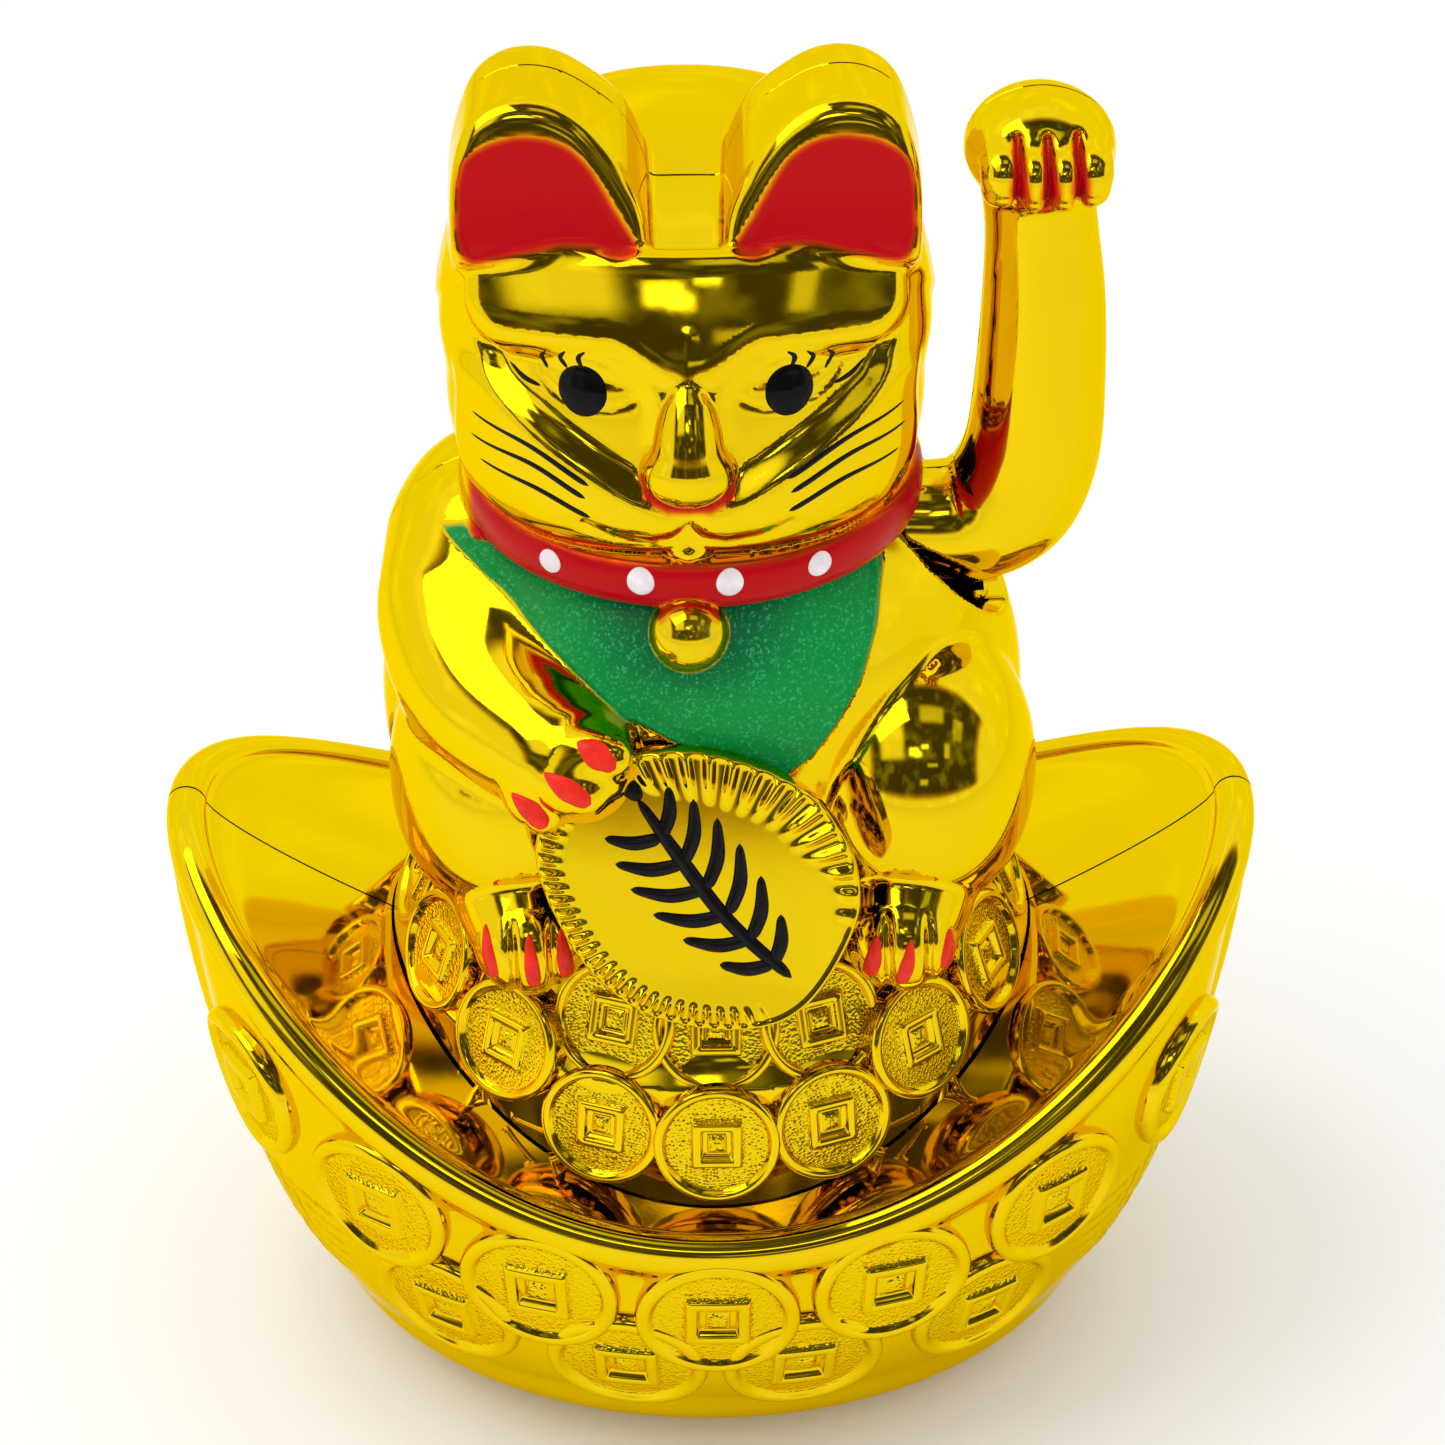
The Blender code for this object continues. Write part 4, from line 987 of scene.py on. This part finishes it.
def hull_coins(name, side, hull, normals, gold):
    """Coins that lie on the curve of the hull, the upper rows over the lower ones."""
    parts, grains = [], []
    for (x, y, z), layer in HULL_COINS:
        gap = np.linalg.norm(hull - vec(x, y * -side, z), axis=1)
        nearest = gap.argmin()
        centre, out = hull[nearest], normals[nearest]
        across = np.cross(vec(0, 0, 1), out)
        across /= np.linalg.norm(across)
        up = np.cross(out, across)
        q = hull[gap < 13] - centre
        curve = np.linalg.lstsq(cubic_terms(q @ across, q @ up), q @ out, rcond=None)[0]
        rows, faces = coin(9.7, 0.77, 1.5, 96)
        u, v, height, grain = rows.T
        lift = cubic_terms(u, v) @ curve + height - 0.3 + 0.25 * layer
        p = centre + u[:, None] * across + v[:, None] * up + lift[:, None] * out
        parts.append((p, faces, np.repeat(out[None], len(p), 0)))
        grains.append(grain)
    p, f, _ = joined(*parts)
    piece(name, inside_outline(p), f, gold, marks={"grain": np.concatenate(grains)})


def inside_outline(points):
    """Keeps the outermost points inside the base's own outline."""
    points = points.copy()
    beyond = np.hypot(points[:, 0] / HULL_X, points[:, 1] / HULL_Y)
    points[:, :2] /= np.maximum(beyond, 1)[:, None]
    return points


def hull_relief(across, deep, z, below_rim):
    """The ribs near the ends of the hull, and how far its wall lies back under the rim behind the coins."""
    pitch = 2.6
    ribs = 0.45 * (0.5 - 0.5 * np.cos(z * math.tau / pitch)) * ramp(across, 43, 47)
    ribs *= ramp(z, 36, 32) * ramp(z, 17, 20) * ramp(deep, 6, 9)
    return ribs - 1.4 * ramp(below_rim, 3.0, 7.0) * ramp(z, 6, 12) * ramp(deep, 3, 8)


def ingot_half(name, side, gold):
    around, hull, lip, floor, skip = ((401, 96, 22, 26, 5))
    angles = np.linspace(0, math.pi, around) + (math.pi if side < 0 else 0)
    rows = np.array([ingot_section(a, hull, lip, floor) for a in angles])
    rows[0, :, 1] = rows[-1, :, 1] = side * SEAM
    normal = np.cross(np.gradient(rows, axis=0), np.gradient(rows, axis=1))
    normal /= np.linalg.norm(normal, axis=2, keepdims=True) + 1e-12
    if (normal[around // 2, hull // 2, :2] @ rows[around // 2, hull // 2, :2]) < 0:
        normal = -normal
    flat, normals = rows.reshape(-1, 3), normal.reshape(-1, 3)
    on_hull = np.tile(np.arange(rows.shape[1]) < hull, around)
    below_rim = np.repeat(rows[:, :, 2].max(1), rows.shape[1]) - flat[:, 2]
    height = hull_relief(*np.abs(flat.T), below_rim) * on_hull
    moved = inside_outline(flat + normals * height[:, None])
    hull_coins("ingot_coins_" + name.split("_")[1], side, flat[on_hull], normals[on_hull], gold)
    inner_rows, inner_normal = rows[::skip, ::skip], normal[::skip, ::skip]
    inner_points = inner_rows - inner_normal * INGOT_WALL
    inner_y = inner_points[:, :, 1]
    inner_y[side * inner_y < SEAM] = side * SEAM
    outer_faces = grid_faces(around, rows.shape[1])
    inner_faces = grid_faces(*inner_points.shape[:2])
    a, b, c = (flat[outer_faces[len(outer_faces) // 2, i]] for i in range(3))
    if np.cross(b - a, c - a) @ normals[outer_faces[len(outer_faces) // 2, 0]] < 0:
        outer_faces = outer_faces[:, ::-1]
    else:
        inner_faces = inner_faces[:, ::-1]
    parts = [
        (moved, outer_faces, normals),
        (inner_points.reshape(-1, 3), inner_faces, -inner_normal.reshape(-1, 3)),
    ]
    parts.append(rim_between(rows, inner_points))
    for x in (-20, 20):
        parts.append(boss((x, 16.5 * side, 2.3), (x, 16.5 * side, 14), 3.2, 1.5, 8.7))
        parts.append(web(x, 16.5 * side))
    p, f, _ = joined(*parts)
    piece(name, inside_outline(p), f, gold, stands_for=[name + "_shell"])


def rim_between(rows, inner):
    """The cut faces of the wall where the two halves meet, and round the foot and the mound."""
    strips = []
    for outer_line, inner_line in (
        (rows[0], inner[0]),
        (rows[-1], inner[-1]),
        (rows[:, 0], inner[:, 0]),
        (rows[:, -1], inner[:, -1]),
    ):
        t = np.linspace(0, 1, len(outer_line))
        s = np.linspace(0, 1, len(inner_line))
        near = np.stack([np.interp(t, s, inner_line[:, i]) for i in range(3)], 1)
        points = np.vstack([outer_line, near])
        strips.append((points, grid_faces(2, len(outer_line)), np.zeros_like(points)))
    return joined(*strips)


def web(x, y):
    """A stiffening fin from a screw post to the hull."""
    out = vec(x, y, 0) / math.hypot(x, y)
    across = vec(-out[1], out[0], 0)
    start = vec(x, y, 0)
    corners = []
    for reach in (2.5, 8.0):
        for z in (4.2, 14.0):
            for s in (-1, 1):
                corners.append(start + out * reach + across * s + vec(0, 0, z))
    faces = np.array([(0, 1, 3, 2), (4, 6, 7, 5), (0, 2, 6, 4), (1, 5, 7, 3), (2, 3, 7, 6), (0, 4, 5, 1)])
    return np.array(corners), faces, np.zeros((8, 3))


# ---------------------------------------------------------------- waving arm

ARM_LINE = [
    (18.5, 0, 111.2, 7.1), (25.5, 0, 111.0, 7.1), (30.0, 0, 111.7, 7.5), (34.0, 0, 114.8, 7.9),
    (36.2, 0, 121.0, 7.7), (36.7, 0, 130.0, 7.3), (36.6, 0, 140.0, 6.8), (36.0, 0, 148.0, 6.2),
    (35.4, 0, 153.0, 6.2), (35.2, 0, 157.6, 7.2),
]


def paw_grooves(p):
    height = np.zeros(len(p))
    for x in (32.3, 35.4, 38.6):
        off = line_distance(p[:, 0] + 0.02 * (p[:, 2] - 157), p[:, 2], [(x, 154.5), (x, 162.0)])
        height -= 0.75 * np.exp(-((off / 0.5) ** 2))
    return height * ramp(p[:, 1], -4.0, -7.0)


def arm_form():
    arm = Form()
    arm.add(sweep(ARM_LINE, 241), 0.3)
    arm.add(blob((35.2, -1.5, 158.6), (8.0, 7.6, 5.6), 2.2), 2.0)
    for x, y in ((30.6, -8.2), (33.8, -9.2), (37.0, -9.2), (40.0, -8.2)):
        arm.add(sweep([(x, -4, 159.8, 2.5), (x, y, 158.9, 2.4), (x, y + 0.1, 157.0, 2.2)], 31), 0.8)
    arm.raised((26, -14, 150), (46, -3, 166), paw_grooves)
    return arm


PAW_CLAWS = [
    [(32.2, 162.0), (32.3, 158.0), (32.5, 154.0)], [(35.3, 162.2), (35.5, 158.0), (35.6, 153.8)],
    [(38.4, 162.4), (38.7, 158.3), (38.9, 154.2)],
]


def arm_halves(gold):
    arm = arm_form()
    step = 0.4

    def before_start(p):
        return ARM_START - p[:, 0]

    def closes_end(middle, facing):
        return (facing[:, 0] < -0.9) & (middle[:, 0] < 22)

    for name, side in (("arm_front", -1), ("arm_rear", 1)):
        half = Form(arm.steps).kept(beyond_seam(side), 0.05)
        half.kept(before_start, 0.3)
        box = ((20, -13 if side < 0 else -2, 101), (47, 2 if side < 0 else 11, 168))
        p, f, n = joined(*moulding(arm, half, side, ARM_WALL, box, (step, 1.2), before_start, closes_end))
        red = np.full(len(p), BARE)
        if side < 0:
            front = (p[:, 1] < -6) & (p[:, 2] > 152)
            for line in PAW_CLAWS:
                claw = line_distance(p[front, 0], p[front, 2], line, (0.35, 1.0, 0.5))
                red[front] = np.minimum(red[front], claw)
        marks = {"red": red, "green": np.full(len(p), BARE), "green_painted_shade": np.zeros(len(p))}
        piece(name, p, f, gold, "arm", [name + "_shell"], n, marks)


# ---------------------------------------------------------------- plaque

KOBAN_CENTRE = vec(-1.0, -36.0, 86.0)
KOBAN_TURN = rotation("X", -20) @ rotation("Y", -40)
KOBAN_OUTLINE = [
    (-10.8, 16.3), (-13.8, 11.4), (-15.8, 3.2), (-15.2, -4.0), (-13.0, -8.8), (-8.5, -14.0), (-3.0, -17.0),
    (3.0, -16.6), (10.5, -13.2), (14.2, -8.6), (15.8, -2.9), (15.3, 2.7), (12.3, 9.1), (8.1, 14.2),
    (2.0, 17.8), (-5.5, 18.6),
]


def even_ring(points, count):
    """A closed smooth outline resampled at even spacing."""
    line = ring_through(points, 24)
    line = np.vstack([line, line[:1]])
    length = np.append(0, np.cumsum(np.linalg.norm(np.diff(line, axis=0), axis=1)))
    at = np.linspace(0, length[-1], count, endpoint=False)
    return np.stack([np.interp(at, length, line[:, i]) for i in range(2)], 1)


def koban_height(share, rim):
    """Height over the plaque's face: ribs round the border, long on one side, and a crowned field."""
    reach = np.linalg.norm(rim, axis=1)
    edge = (1 - share) * reach
    spacing = 1.75 + 1.1 * ramp(rim[:, 0], -4, 6)
    turn = np.cumsum(1 / spacing)
    turn *= math.tau * round(turn[-1] * 108 / len(rim)) / turn[-1]
    right = ramp(rim[:, 0], -3, 8) * ramp(rim[:, 1], -12, -4)
    length = 3.0 + 2.9 * right
    strength = 1 - ramp(rim[:, 1], -9, -15) * ramp(rim[:, 0], -9, -4)
    ridge = (0.5 + 0.5 * np.cos(turn)) ** 1.6
    taper = ramp(edge, length, 0.5 * length)
    ribs = ridge * taper * ramp(edge, 0.25, 0.8) * strength
    return 0.75 * ribs + 0.45 * ramp(edge, 0.75, 0.2) + 0.35 * (1 - share**2)


def koban(gold):
    around, across = ((704, 60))
    rim = even_ring(KOBAN_OUTLINE, around)
    rows = []
    for share in np.linspace(0.002, 0.975, across):
        flat = rim * share
        rows.append(np.stack([flat[:, 0], -1.5 - koban_height(share, rim), flat[:, 1]], 1))
    for share, depth in (
        (0.988, -1.7), (0.997, -1.3), (1.0, -0.7), (1.0, 0.7), (0.995, 1.3), (0.98, 1.65), (0.9, 1.75),
        (0.002, 1.75),
    ):
        rows.append(np.stack([rim[:, 0] * share, np.full(around, depth), rim[:, 1] * share], 1))
    p = np.vstack(rows) @ KOBAN_TURN.T + KOBAN_CENTRE
    f = grid_faces(len(rows), around, close_columns=True)
    piece("koban", p, f, gold, stands_for=["cat_front_shell"])


# ---------------------------------------------------------------- brushed and raised details


def surface_y(form, x, z):
    """Where a line going back along Y first meets the form."""
    in_front = -56.0
    points = np.stack([x, np.full(len(x), in_front), z], 1)
    for _ in range(90):
        points[:, 1] += np.clip(form(points) * 0.85, -0.5, 4.0)
    return points


ACROSS = vec(-1, -0.85, -0.45, 0, 0.45, 0.85, 1)
CROWN = vec(-0.12, 0.45, 0.92, 1, 0.92, 0.45, -0.12)


def brush_line(points, widths, height, place, samples=26):
    """A raised stroke with soft sides. place turns (u, v) into points on a surface with their normals."""
    rows = curve_through([(*p, w) for p, w in zip(points, widths)], samples)
    line, width = rows[:, :2], np.maximum(rows[:, 2], 0.02)
    along = np.gradient(line, axis=0)
    along /= np.linalg.norm(along, axis=1, keepdims=True)
    side = np.stack([-along[:, 1], along[:, 0]], 1)
    end = np.minimum(np.arange(samples), np.arange(samples)[::-1]) / 3.0
    cap = np.sqrt(np.clip(1 - (1 - np.minimum(end, 1)) ** 2, 0.02, 1))
    flat = line[:, None] + side[:, None] * (ACROSS[None, :, None] * (width * cap)[:, None, None])
    surface, normal = place(flat[..., 0].ravel(), flat[..., 1].ravel())
    lift = (CROWN[None] * height * np.where(cap < 0.5, 0.3, 1)[:, None]).ravel()
    return surface + normal * lift[:, None], grid_faces(samples, len(ACROSS)), normal


def dome(centre, radii, height, place, power=2.0):
    """A raised round spot with soft edges."""
    rings, around = 9, 40
    turns = np.linspace(0, math.tau, around, endpoint=False)
    share = np.append(np.linspace(0.01, 0.9, rings - 2), [0.97, 1.0])
    u = centre[0] + radii[0] * share[:, None] * np.cos(turns)
    v = centre[1] + radii[1] * share[:, None] * np.sin(turns)
    surface, normal = place(u.ravel(), v.ravel())
    lift = np.repeat(height * np.sqrt(np.clip(1 - share**power, 0, 1)) - 0.05 * (share > 0.99), around)
    return surface + normal * lift[:, None], grid_faces(len(share), around, close_columns=True), normal


def outward(skins):
    """The skins joined, with each one's faces turned to agree with its normals."""
    turned = []
    for p, f, n in skins:
        a, b, c = (p[f[:, i]] for i in range(3))
        agree = (np.cross(b - a, c - a) * n[f[:, 0]]).sum()
        turned.append((p, f if agree > 0 else f[:, ::-1], n))
    return joined(*turned)


def on_form(form):
    def place(x, z):
        points = surface_y(form, x, z)
        return points, form.normals(points)

    return place


def on_koban(u, v):
    """Points on the plaque's face for its own coordinates."""
    rim = ring_through(KOBAN_OUTLINE, 24)
    angles = np.arctan2(rim[:, 1], rim[:, 0])
    order = np.argsort(angles)
    reach = np.interp(np.arctan2(v, u), angles[order], np.linalg.norm(rim, axis=1)[order], period=math.tau)
    share = np.hypot(u, v) / reach
    local = np.stack([u, -1.5 - 0.35 * (1 - share**2), v], 1)
    normal = np.repeat((KOBAN_TURN @ vec(0, -1, 0))[None], len(u), 0)
    return local @ KOBAN_TURN.T + KOBAN_CENTRE, normal


WHISKERS = [
    [(-25.9, 134.1), (-19.6, 133.3), (-13.4, 130.3)], [(-26.1, 131.5), (-19.6, 131.4), (-13.8, 128.8)],
    [(-25.1, 129.3), (-19.1, 128.8), (-13.3, 126.5)], [(20.5, 134.7), (14.2, 133.9), (7.7, 130.9)],
    [(20.7, 132.3), (14.4, 132.0), (8.1, 129.3)], [(20.0, 129.8), (13.9, 129.5), (7.9, 127.1)],
]
LASHES = [
    [(-17.8, 143.1), (-18.2, 142.0), (-17.6, 140.8)], [(-15.7, 143.5), (-16.2, 142.5), (-15.5, 141.4)],
    [(-13.6, 143.7), (-14.3, 142.8), (-13.9, 141.7)], [(-21.7, 140.0), (-20.2, 139.1), (-18.4, 138.8)],
    [(7.7, 143.6), (8.5, 142.8), (8.1, 141.6)], [(9.8, 143.3), (10.5, 142.4), (9.8, 141.2)],
    [(12.0, 143.0), (12.6, 142.0), (11.8, 140.6)], [(16.3, 140.1), (14.7, 139.2), (12.8, 138.8)],
]
HAND_CLAWS = [
    [(-15.0, 104.8), (-13.0, 103.9), (-10.9, 102.6)], [(-18.6, 101.4), (-16.2, 100.2), (-13.6, 98.8)],
    [(-22.2, 97.8), (-20.2, 96.4), (-18.4, 94.9)],
]
FOOT_CLAWS = [
    [(-25.7, 78.4), (-25.4, 75.6), (-25.0, 73.0)], [(-20.9, 79.0), (-20.6, 75.8), (-20.3, 72.4)],
    [(-17.4, 78.6), (-17.0, 75.6), (-16.5, 72.4)], [(18.0, 78.0), (17.6, 75.4), (17.0, 72.6)],
    [(21.7, 78.0), (21.3, 75.2), (20.6, 72.3)], [(26.1, 77.4), (26.0, 75.2), (25.9, 73.0)],
]


def painted_details(cat):
    """Eyes, whiskers, lashes, claws, collar dots and the grain-ear ornament on the plaque."""
    ink = gloss_paint("black_enamel", (0.006, 0.005, 0.005), 0.16, 0.12)
    eye = gloss_paint("eye_enamel", (0.003, 0.003, 0.003), 0.04, 0.10)
    white = gloss_paint("white_enamel", (0.74, 0.68, 0.70), 0.25)
    red = gloss_paint("claw_enamel", (0.70, 0.018, 0.006), 0.22)
    place = on_form(cat)

    def group(name, skins, material):
        p, f, _ = outward(skins)
        piece(name, p, f, material)

    for name, x, z in (("eye_left", -13.9, 139.3), ("eye_right", 7.95, 139.3)):
        group(name, [dome((x, z), (2.6, 2.75), 0.55, place)], eye)
    group("whiskers", [brush_line(line, (0.10, 0.30, 0.34), 0.12, place, 34) for line in WHISKERS], ink)
    group("lashes", [brush_line(line, (0.12, 0.30, 0.18), 0.10, place, 20) for line in LASHES], ink)
    dots = (
        ((-17.8, 119.0), (1.15, 1.3)), ((-8.0, 118.9), (1.5, 1.55)), ((1.6, 118.9), (1.5, 1.55)),
        ((11.4, 119.1), (1.3, 1.35)),
    )
    group("collar_dots", [dome(at, size, 0.16, place, power=6) for at, size in dots], white)
    claws = [brush_line(line, (0.35, 1.35, 0.9), 0.35, place, 20) for line in HAND_CLAWS]
    claws += [brush_line(line, (0.3, 0.85, 0.8), 0.3, place, 20) for line in FOOT_CLAWS]
    group("claws", claws, red)
    stem = [(1.0, 13.0), (0.2, 5.0), (-0.4, -4.0), (0.6, -13.5)]
    strokes = [brush_line(stem, (0.5, 0.85, 0.85, 0.7), 0.6, on_koban, 40)]
    for i, v in enumerate((8.0, 4.2, 0.4, -3.4, -7.2, -11.0)):
        reach = (4.6, 5.6, 6.2, 6.2, 5.6, 4.4)[i]
        for way in (-1, 1):
            line = [(0.1, v), (way * reach * 0.55, v + reach * 0.32), (way * reach, v + reach * 0.86)]
            strokes.append(brush_line(line, (0.75, 0.85, 0.45), 0.55, on_koban, 22))
    strokes.append(dome((1.2, 14.2), (1.0, 1.5), 0.6, on_koban, power=3))
    group("plaque_ornament", strokes, ink)


# ---------------------------------------------------------------- the rest of the frame


def plain_material(name, colour, second, rough, metallic, scale, grain, stretch=None, coat=0.0):
    n = Finish(name)
    base = n.mix(n.ramp(n.noise(scale, 4, 0.6, stretch), 0.35, 0.7), colour, second)
    n.bump((n.noise(scale * 3, 3, 0.6, stretch), grain, 0.5))
    return n.set(
        Base_Color=base,
        Roughness=n.ramp(n.noise(scale * 1.7, 3), 0.3, 0.7, rough, rough + 0.15),
        Metallic=metallic,
        Coat_Weight=coat,
    )


FINISHES = {
    # slot: name, colour, second colour, roughness, metallic, scale, depth of the grain, stretch, coat
    "steel": ("steel_finish", (0.56, 0.57, 0.58), (0.42, 0.42, 0.43), 0.22, 1.0, 900, 0.00001),
    "copper": (
        "copper_finish", (0.75, 0.30, 0.12), (0.55, 0.18, 0.07), 0.25, 1.0, 2200, 0.00004, (1, 1, 9), 0.4,
    ),
    "black_plastic": (
        "black_moulding", (0.018, 0.018, 0.019), (0.03, 0.03, 0.031), 0.38, 0.0, 1300, 0.00004,
    ),
    "white_plastic": ("white_moulding", (0.76, 0.75, 0.72), (0.70, 0.69, 0.65), 0.4, 0.0, 700, 0.00002),
    "yellow_plastic": ("yellow_moulding", (0.72, 0.50, 0.03), (0.64, 0.43, 0.02), 0.38, 0.0, 500, 0.00002),
    "red_insulation": ("red_lead", (0.55, 0.02, 0.02), (0.42, 0.012, 0.012), 0.35, 0.0, 500, 0.00002),
    "ferrite": ("ferrite_finish", (0.045, 0.043, 0.042), (0.085, 0.08, 0.078), 0.55, 0.0, 1500, 0.00006),
    "circuit_board": (
        "board_finish", (0.012, 0.15, 0.05), (0.02, 0.22, 0.08), 0.3, 0.0, 350, 0.00003, (6, 1, 1), 0.5,
    ),
    "cell_jacket": (
        "cell_jacket_finish", (0.06, 0.16, 0.42), (0.05, 0.13, 0.34),
        0.25, 0.0, 200, 0.00001, (1, 1, 5), 0.3,
    ),
    "capacitor_sleeve": (
        "sleeve_finish", (0.02, 0.03, 0.10), (0.03, 0.045, 0.14), 0.3, 0.0, 500, 0.00001,
    ),
}


def finish_frame():
    """A moulded, drawn or printed finish for each part of the works that keeps its own shape."""
    by_slot = {slot: plain_material(*values) for slot, values in FINISHES.items()}
    by_slot["gold_plating"] = gold_plating("gold_frame_finish")
    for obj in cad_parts.values():
        for material_slot in obj.material_slots:
            old = material_slot.material.name.split(".")[0] if material_slot.material else "steel"
            material_slot.material = by_slot.get(old, by_slot["steel"])


# ---------------------------------------------------------------- studio


SOFT_LAMPS = [
    # middle to the side and up over the top, half width and half height, soft edge (degrees), power
    (-28, 54, 9, 11, 7.0, 0.95),
    (-5, 45, 3, 1.6, 3.0, 2.6),
    (-1, 43, 2, 1.0, 2.4, 2.0),
    (5, 49, 2.0, 0.8, 1.8, 2.0),
    (12, 34, 4, 0.6, 1.8, 0.6),
    (27, 46, 1.5, 5, 2.5, 0.6),
    (4, 20, 2, 1, 2.5, 0.7),
    (12, 76, 8, 4, 5.0, 0.6),
    (-14, 84, 3, 2, 3.0, 1.2),
    (38, 66, 3, 8, 4.0, 0.45),
]


def floor_sheet():
    ground = Finish("floor_paper")
    base = ground.mix(ground.ramp(ground.noise(3, 2), 0.3, 0.7), (0.93, 0.93, 0.93), (0.95, 0.95, 0.95))
    ground.bump((ground.noise(900, 2), 0.00002, 0.3))
    ground.set(Base_Color=base, Roughness=0.85)
    half = 4.0
    corners = [(-half, -half, 0), (half, -half, 0), (half, half, 0), (-half, half, 0)]
    mesh = bpy.data.meshes.new("floor")
    mesh.from_pydata(corners, [], [(0, 1, 2, 3)])
    mesh.materials.append(ground.material)
    floor = bpy.data.objects.new("floor", mesh)
    bpy.context.scene.collection.objects.link(floor)


def room():
    """White all round, with a dark card and soft lamps over the front that only reflections see."""
    world = bpy.data.worlds.new("soft_studio")
    bpy.context.scene.world = world
    world.use_nodes = True
    sky = Nodes(world.node_tree, "Generated")
    out = sky.tree.nodes["Background"]
    split = sky.node("ShaderNodeSeparateXYZ")
    sky.put(split.inputs[0], sky.place)
    x, y, z = split.outputs
    sideways = sky.math("ARCSINE", x)
    over = sky.math("ARCTAN2", z, sky.math("MULTIPLY", y, -1.0))

    def patch(middle_side, middle_over, half_side, half_over, soft):
        """1 inside a soft-edged rectangle of directions, in degrees to the side and up over the top."""
        shares = []
        for value, middle, half in ((sideways, middle_side, half_side), (over, middle_over, half_over)):
            off = sky.math("ABSOLUTE", sky.math("SUBTRACT", value, math.radians(middle)))
            shares.append(sky.ramp(off, math.radians(half + soft), math.radians(half)))
        return sky.math("MULTIPLY", *shares)

    glossy = sky.node("ShaderNodeLightPath").outputs["Is Glossy Ray"]
    dark = sky.math("MULTIPLY", patch(5, 54, 52, 42, 9), glossy)
    warmth = sky.node("ShaderNodeValToRGB")
    sky.put(warmth.inputs["Fac"], dark)
    stops = warmth.color_ramp.elements
    stops[0].position, stops[0].color = 0.0, (1.0, 1.0, 1.0, 1)
    stops[1].position, stops[1].color = 1.0, (0.055, 0.050, 0.034, 1)
    middle = stops.new(0.55)
    middle.color = (0.42, 0.27, 0.11, 1)
    light = 0.0
    for *place, power in SOFT_LAMPS:
        light = sky.math("ADD", light, sky.math("MULTIPLY", patch(*place), power))
    uneven = sky.math("MAXIMUM", sky.math("SUBTRACT", sky.noise(4.5, 2.5), 0.50), 0.0)
    light = sky.math("ADD", light, sky.math("MULTIPLY", uneven, 0.9))
    light = sky.math("MULTIPLY", light, glossy)
    both = sky.node("ShaderNodeMix", data_type="RGBA", blend_type="ADD")
    both.inputs[0].default_value = 1.0
    sky.put(both.inputs[6], warmth.outputs["Color"])
    sky.put(both.inputs[7], light)
    sky.put(out.inputs["Color"], both.outputs[2])
    out.inputs["Strength"].default_value = 0.99


def key_lamp():
    lamp = bpy.data.lights.new("soft_key", "AREA")
    lamp.energy = 3.0
    lamp.size = 0.7
    key = bpy.data.objects.new("soft_key", lamp)
    key.location = (-0.5, -0.1, 1.0)
    key.rotation_euler = (Vector((0, 0, 0.08)) - key.location).to_track_quat("-Z", "Y").to_euler()
    bpy.context.scene.collection.objects.link(key)


def viewpoint():
    distance = 0.45
    camera = bpy.data.cameras.new("camera")
    camera.sensor_width = 36
    camera.lens = 95.07
    camera.shift_x = 0.0080
    camera.shift_y = -0.0073
    camera.clip_start = 0.01
    eye = bpy.data.objects.new("camera", camera)
    target = Vector((0, 0, 0.085))
    az, el = math.radians(-1), math.radians(34)
    towards = Vector((math.sin(az) * math.cos(el), -math.cos(az) * math.cos(el), math.sin(el)))
    eye.location = target + distance * towards
    eye.rotation_euler = (target - eye.location).to_track_quat("-Z", "Y").to_euler()
    bpy.context.scene.collection.objects.link(eye)
    bpy.context.scene.camera = eye


def main():
    painted = gold_plating("gold_painted", painted=True)
    grained = gold_plating("gold_coined", grained=True)
    plain = gold_plating("gold_plain")
    cat = cat_form()
    cat_half("cat_front", -1, cat, painted)
    cat_half("cat_rear", 1, cat, painted)
    coin_mound(grained)
    ingot_half("ingot_front", -1, grained)
    ingot_half("ingot_rear", 1, grained)
    arm_halves(painted)
    koban(plain)
    painted_details(cat)
    finish_frame()
    floor_sheet()
    room()
    key_lamp()
    viewpoint()
    bpy.context.scene.view_settings.view_transform = "Standard"


main()
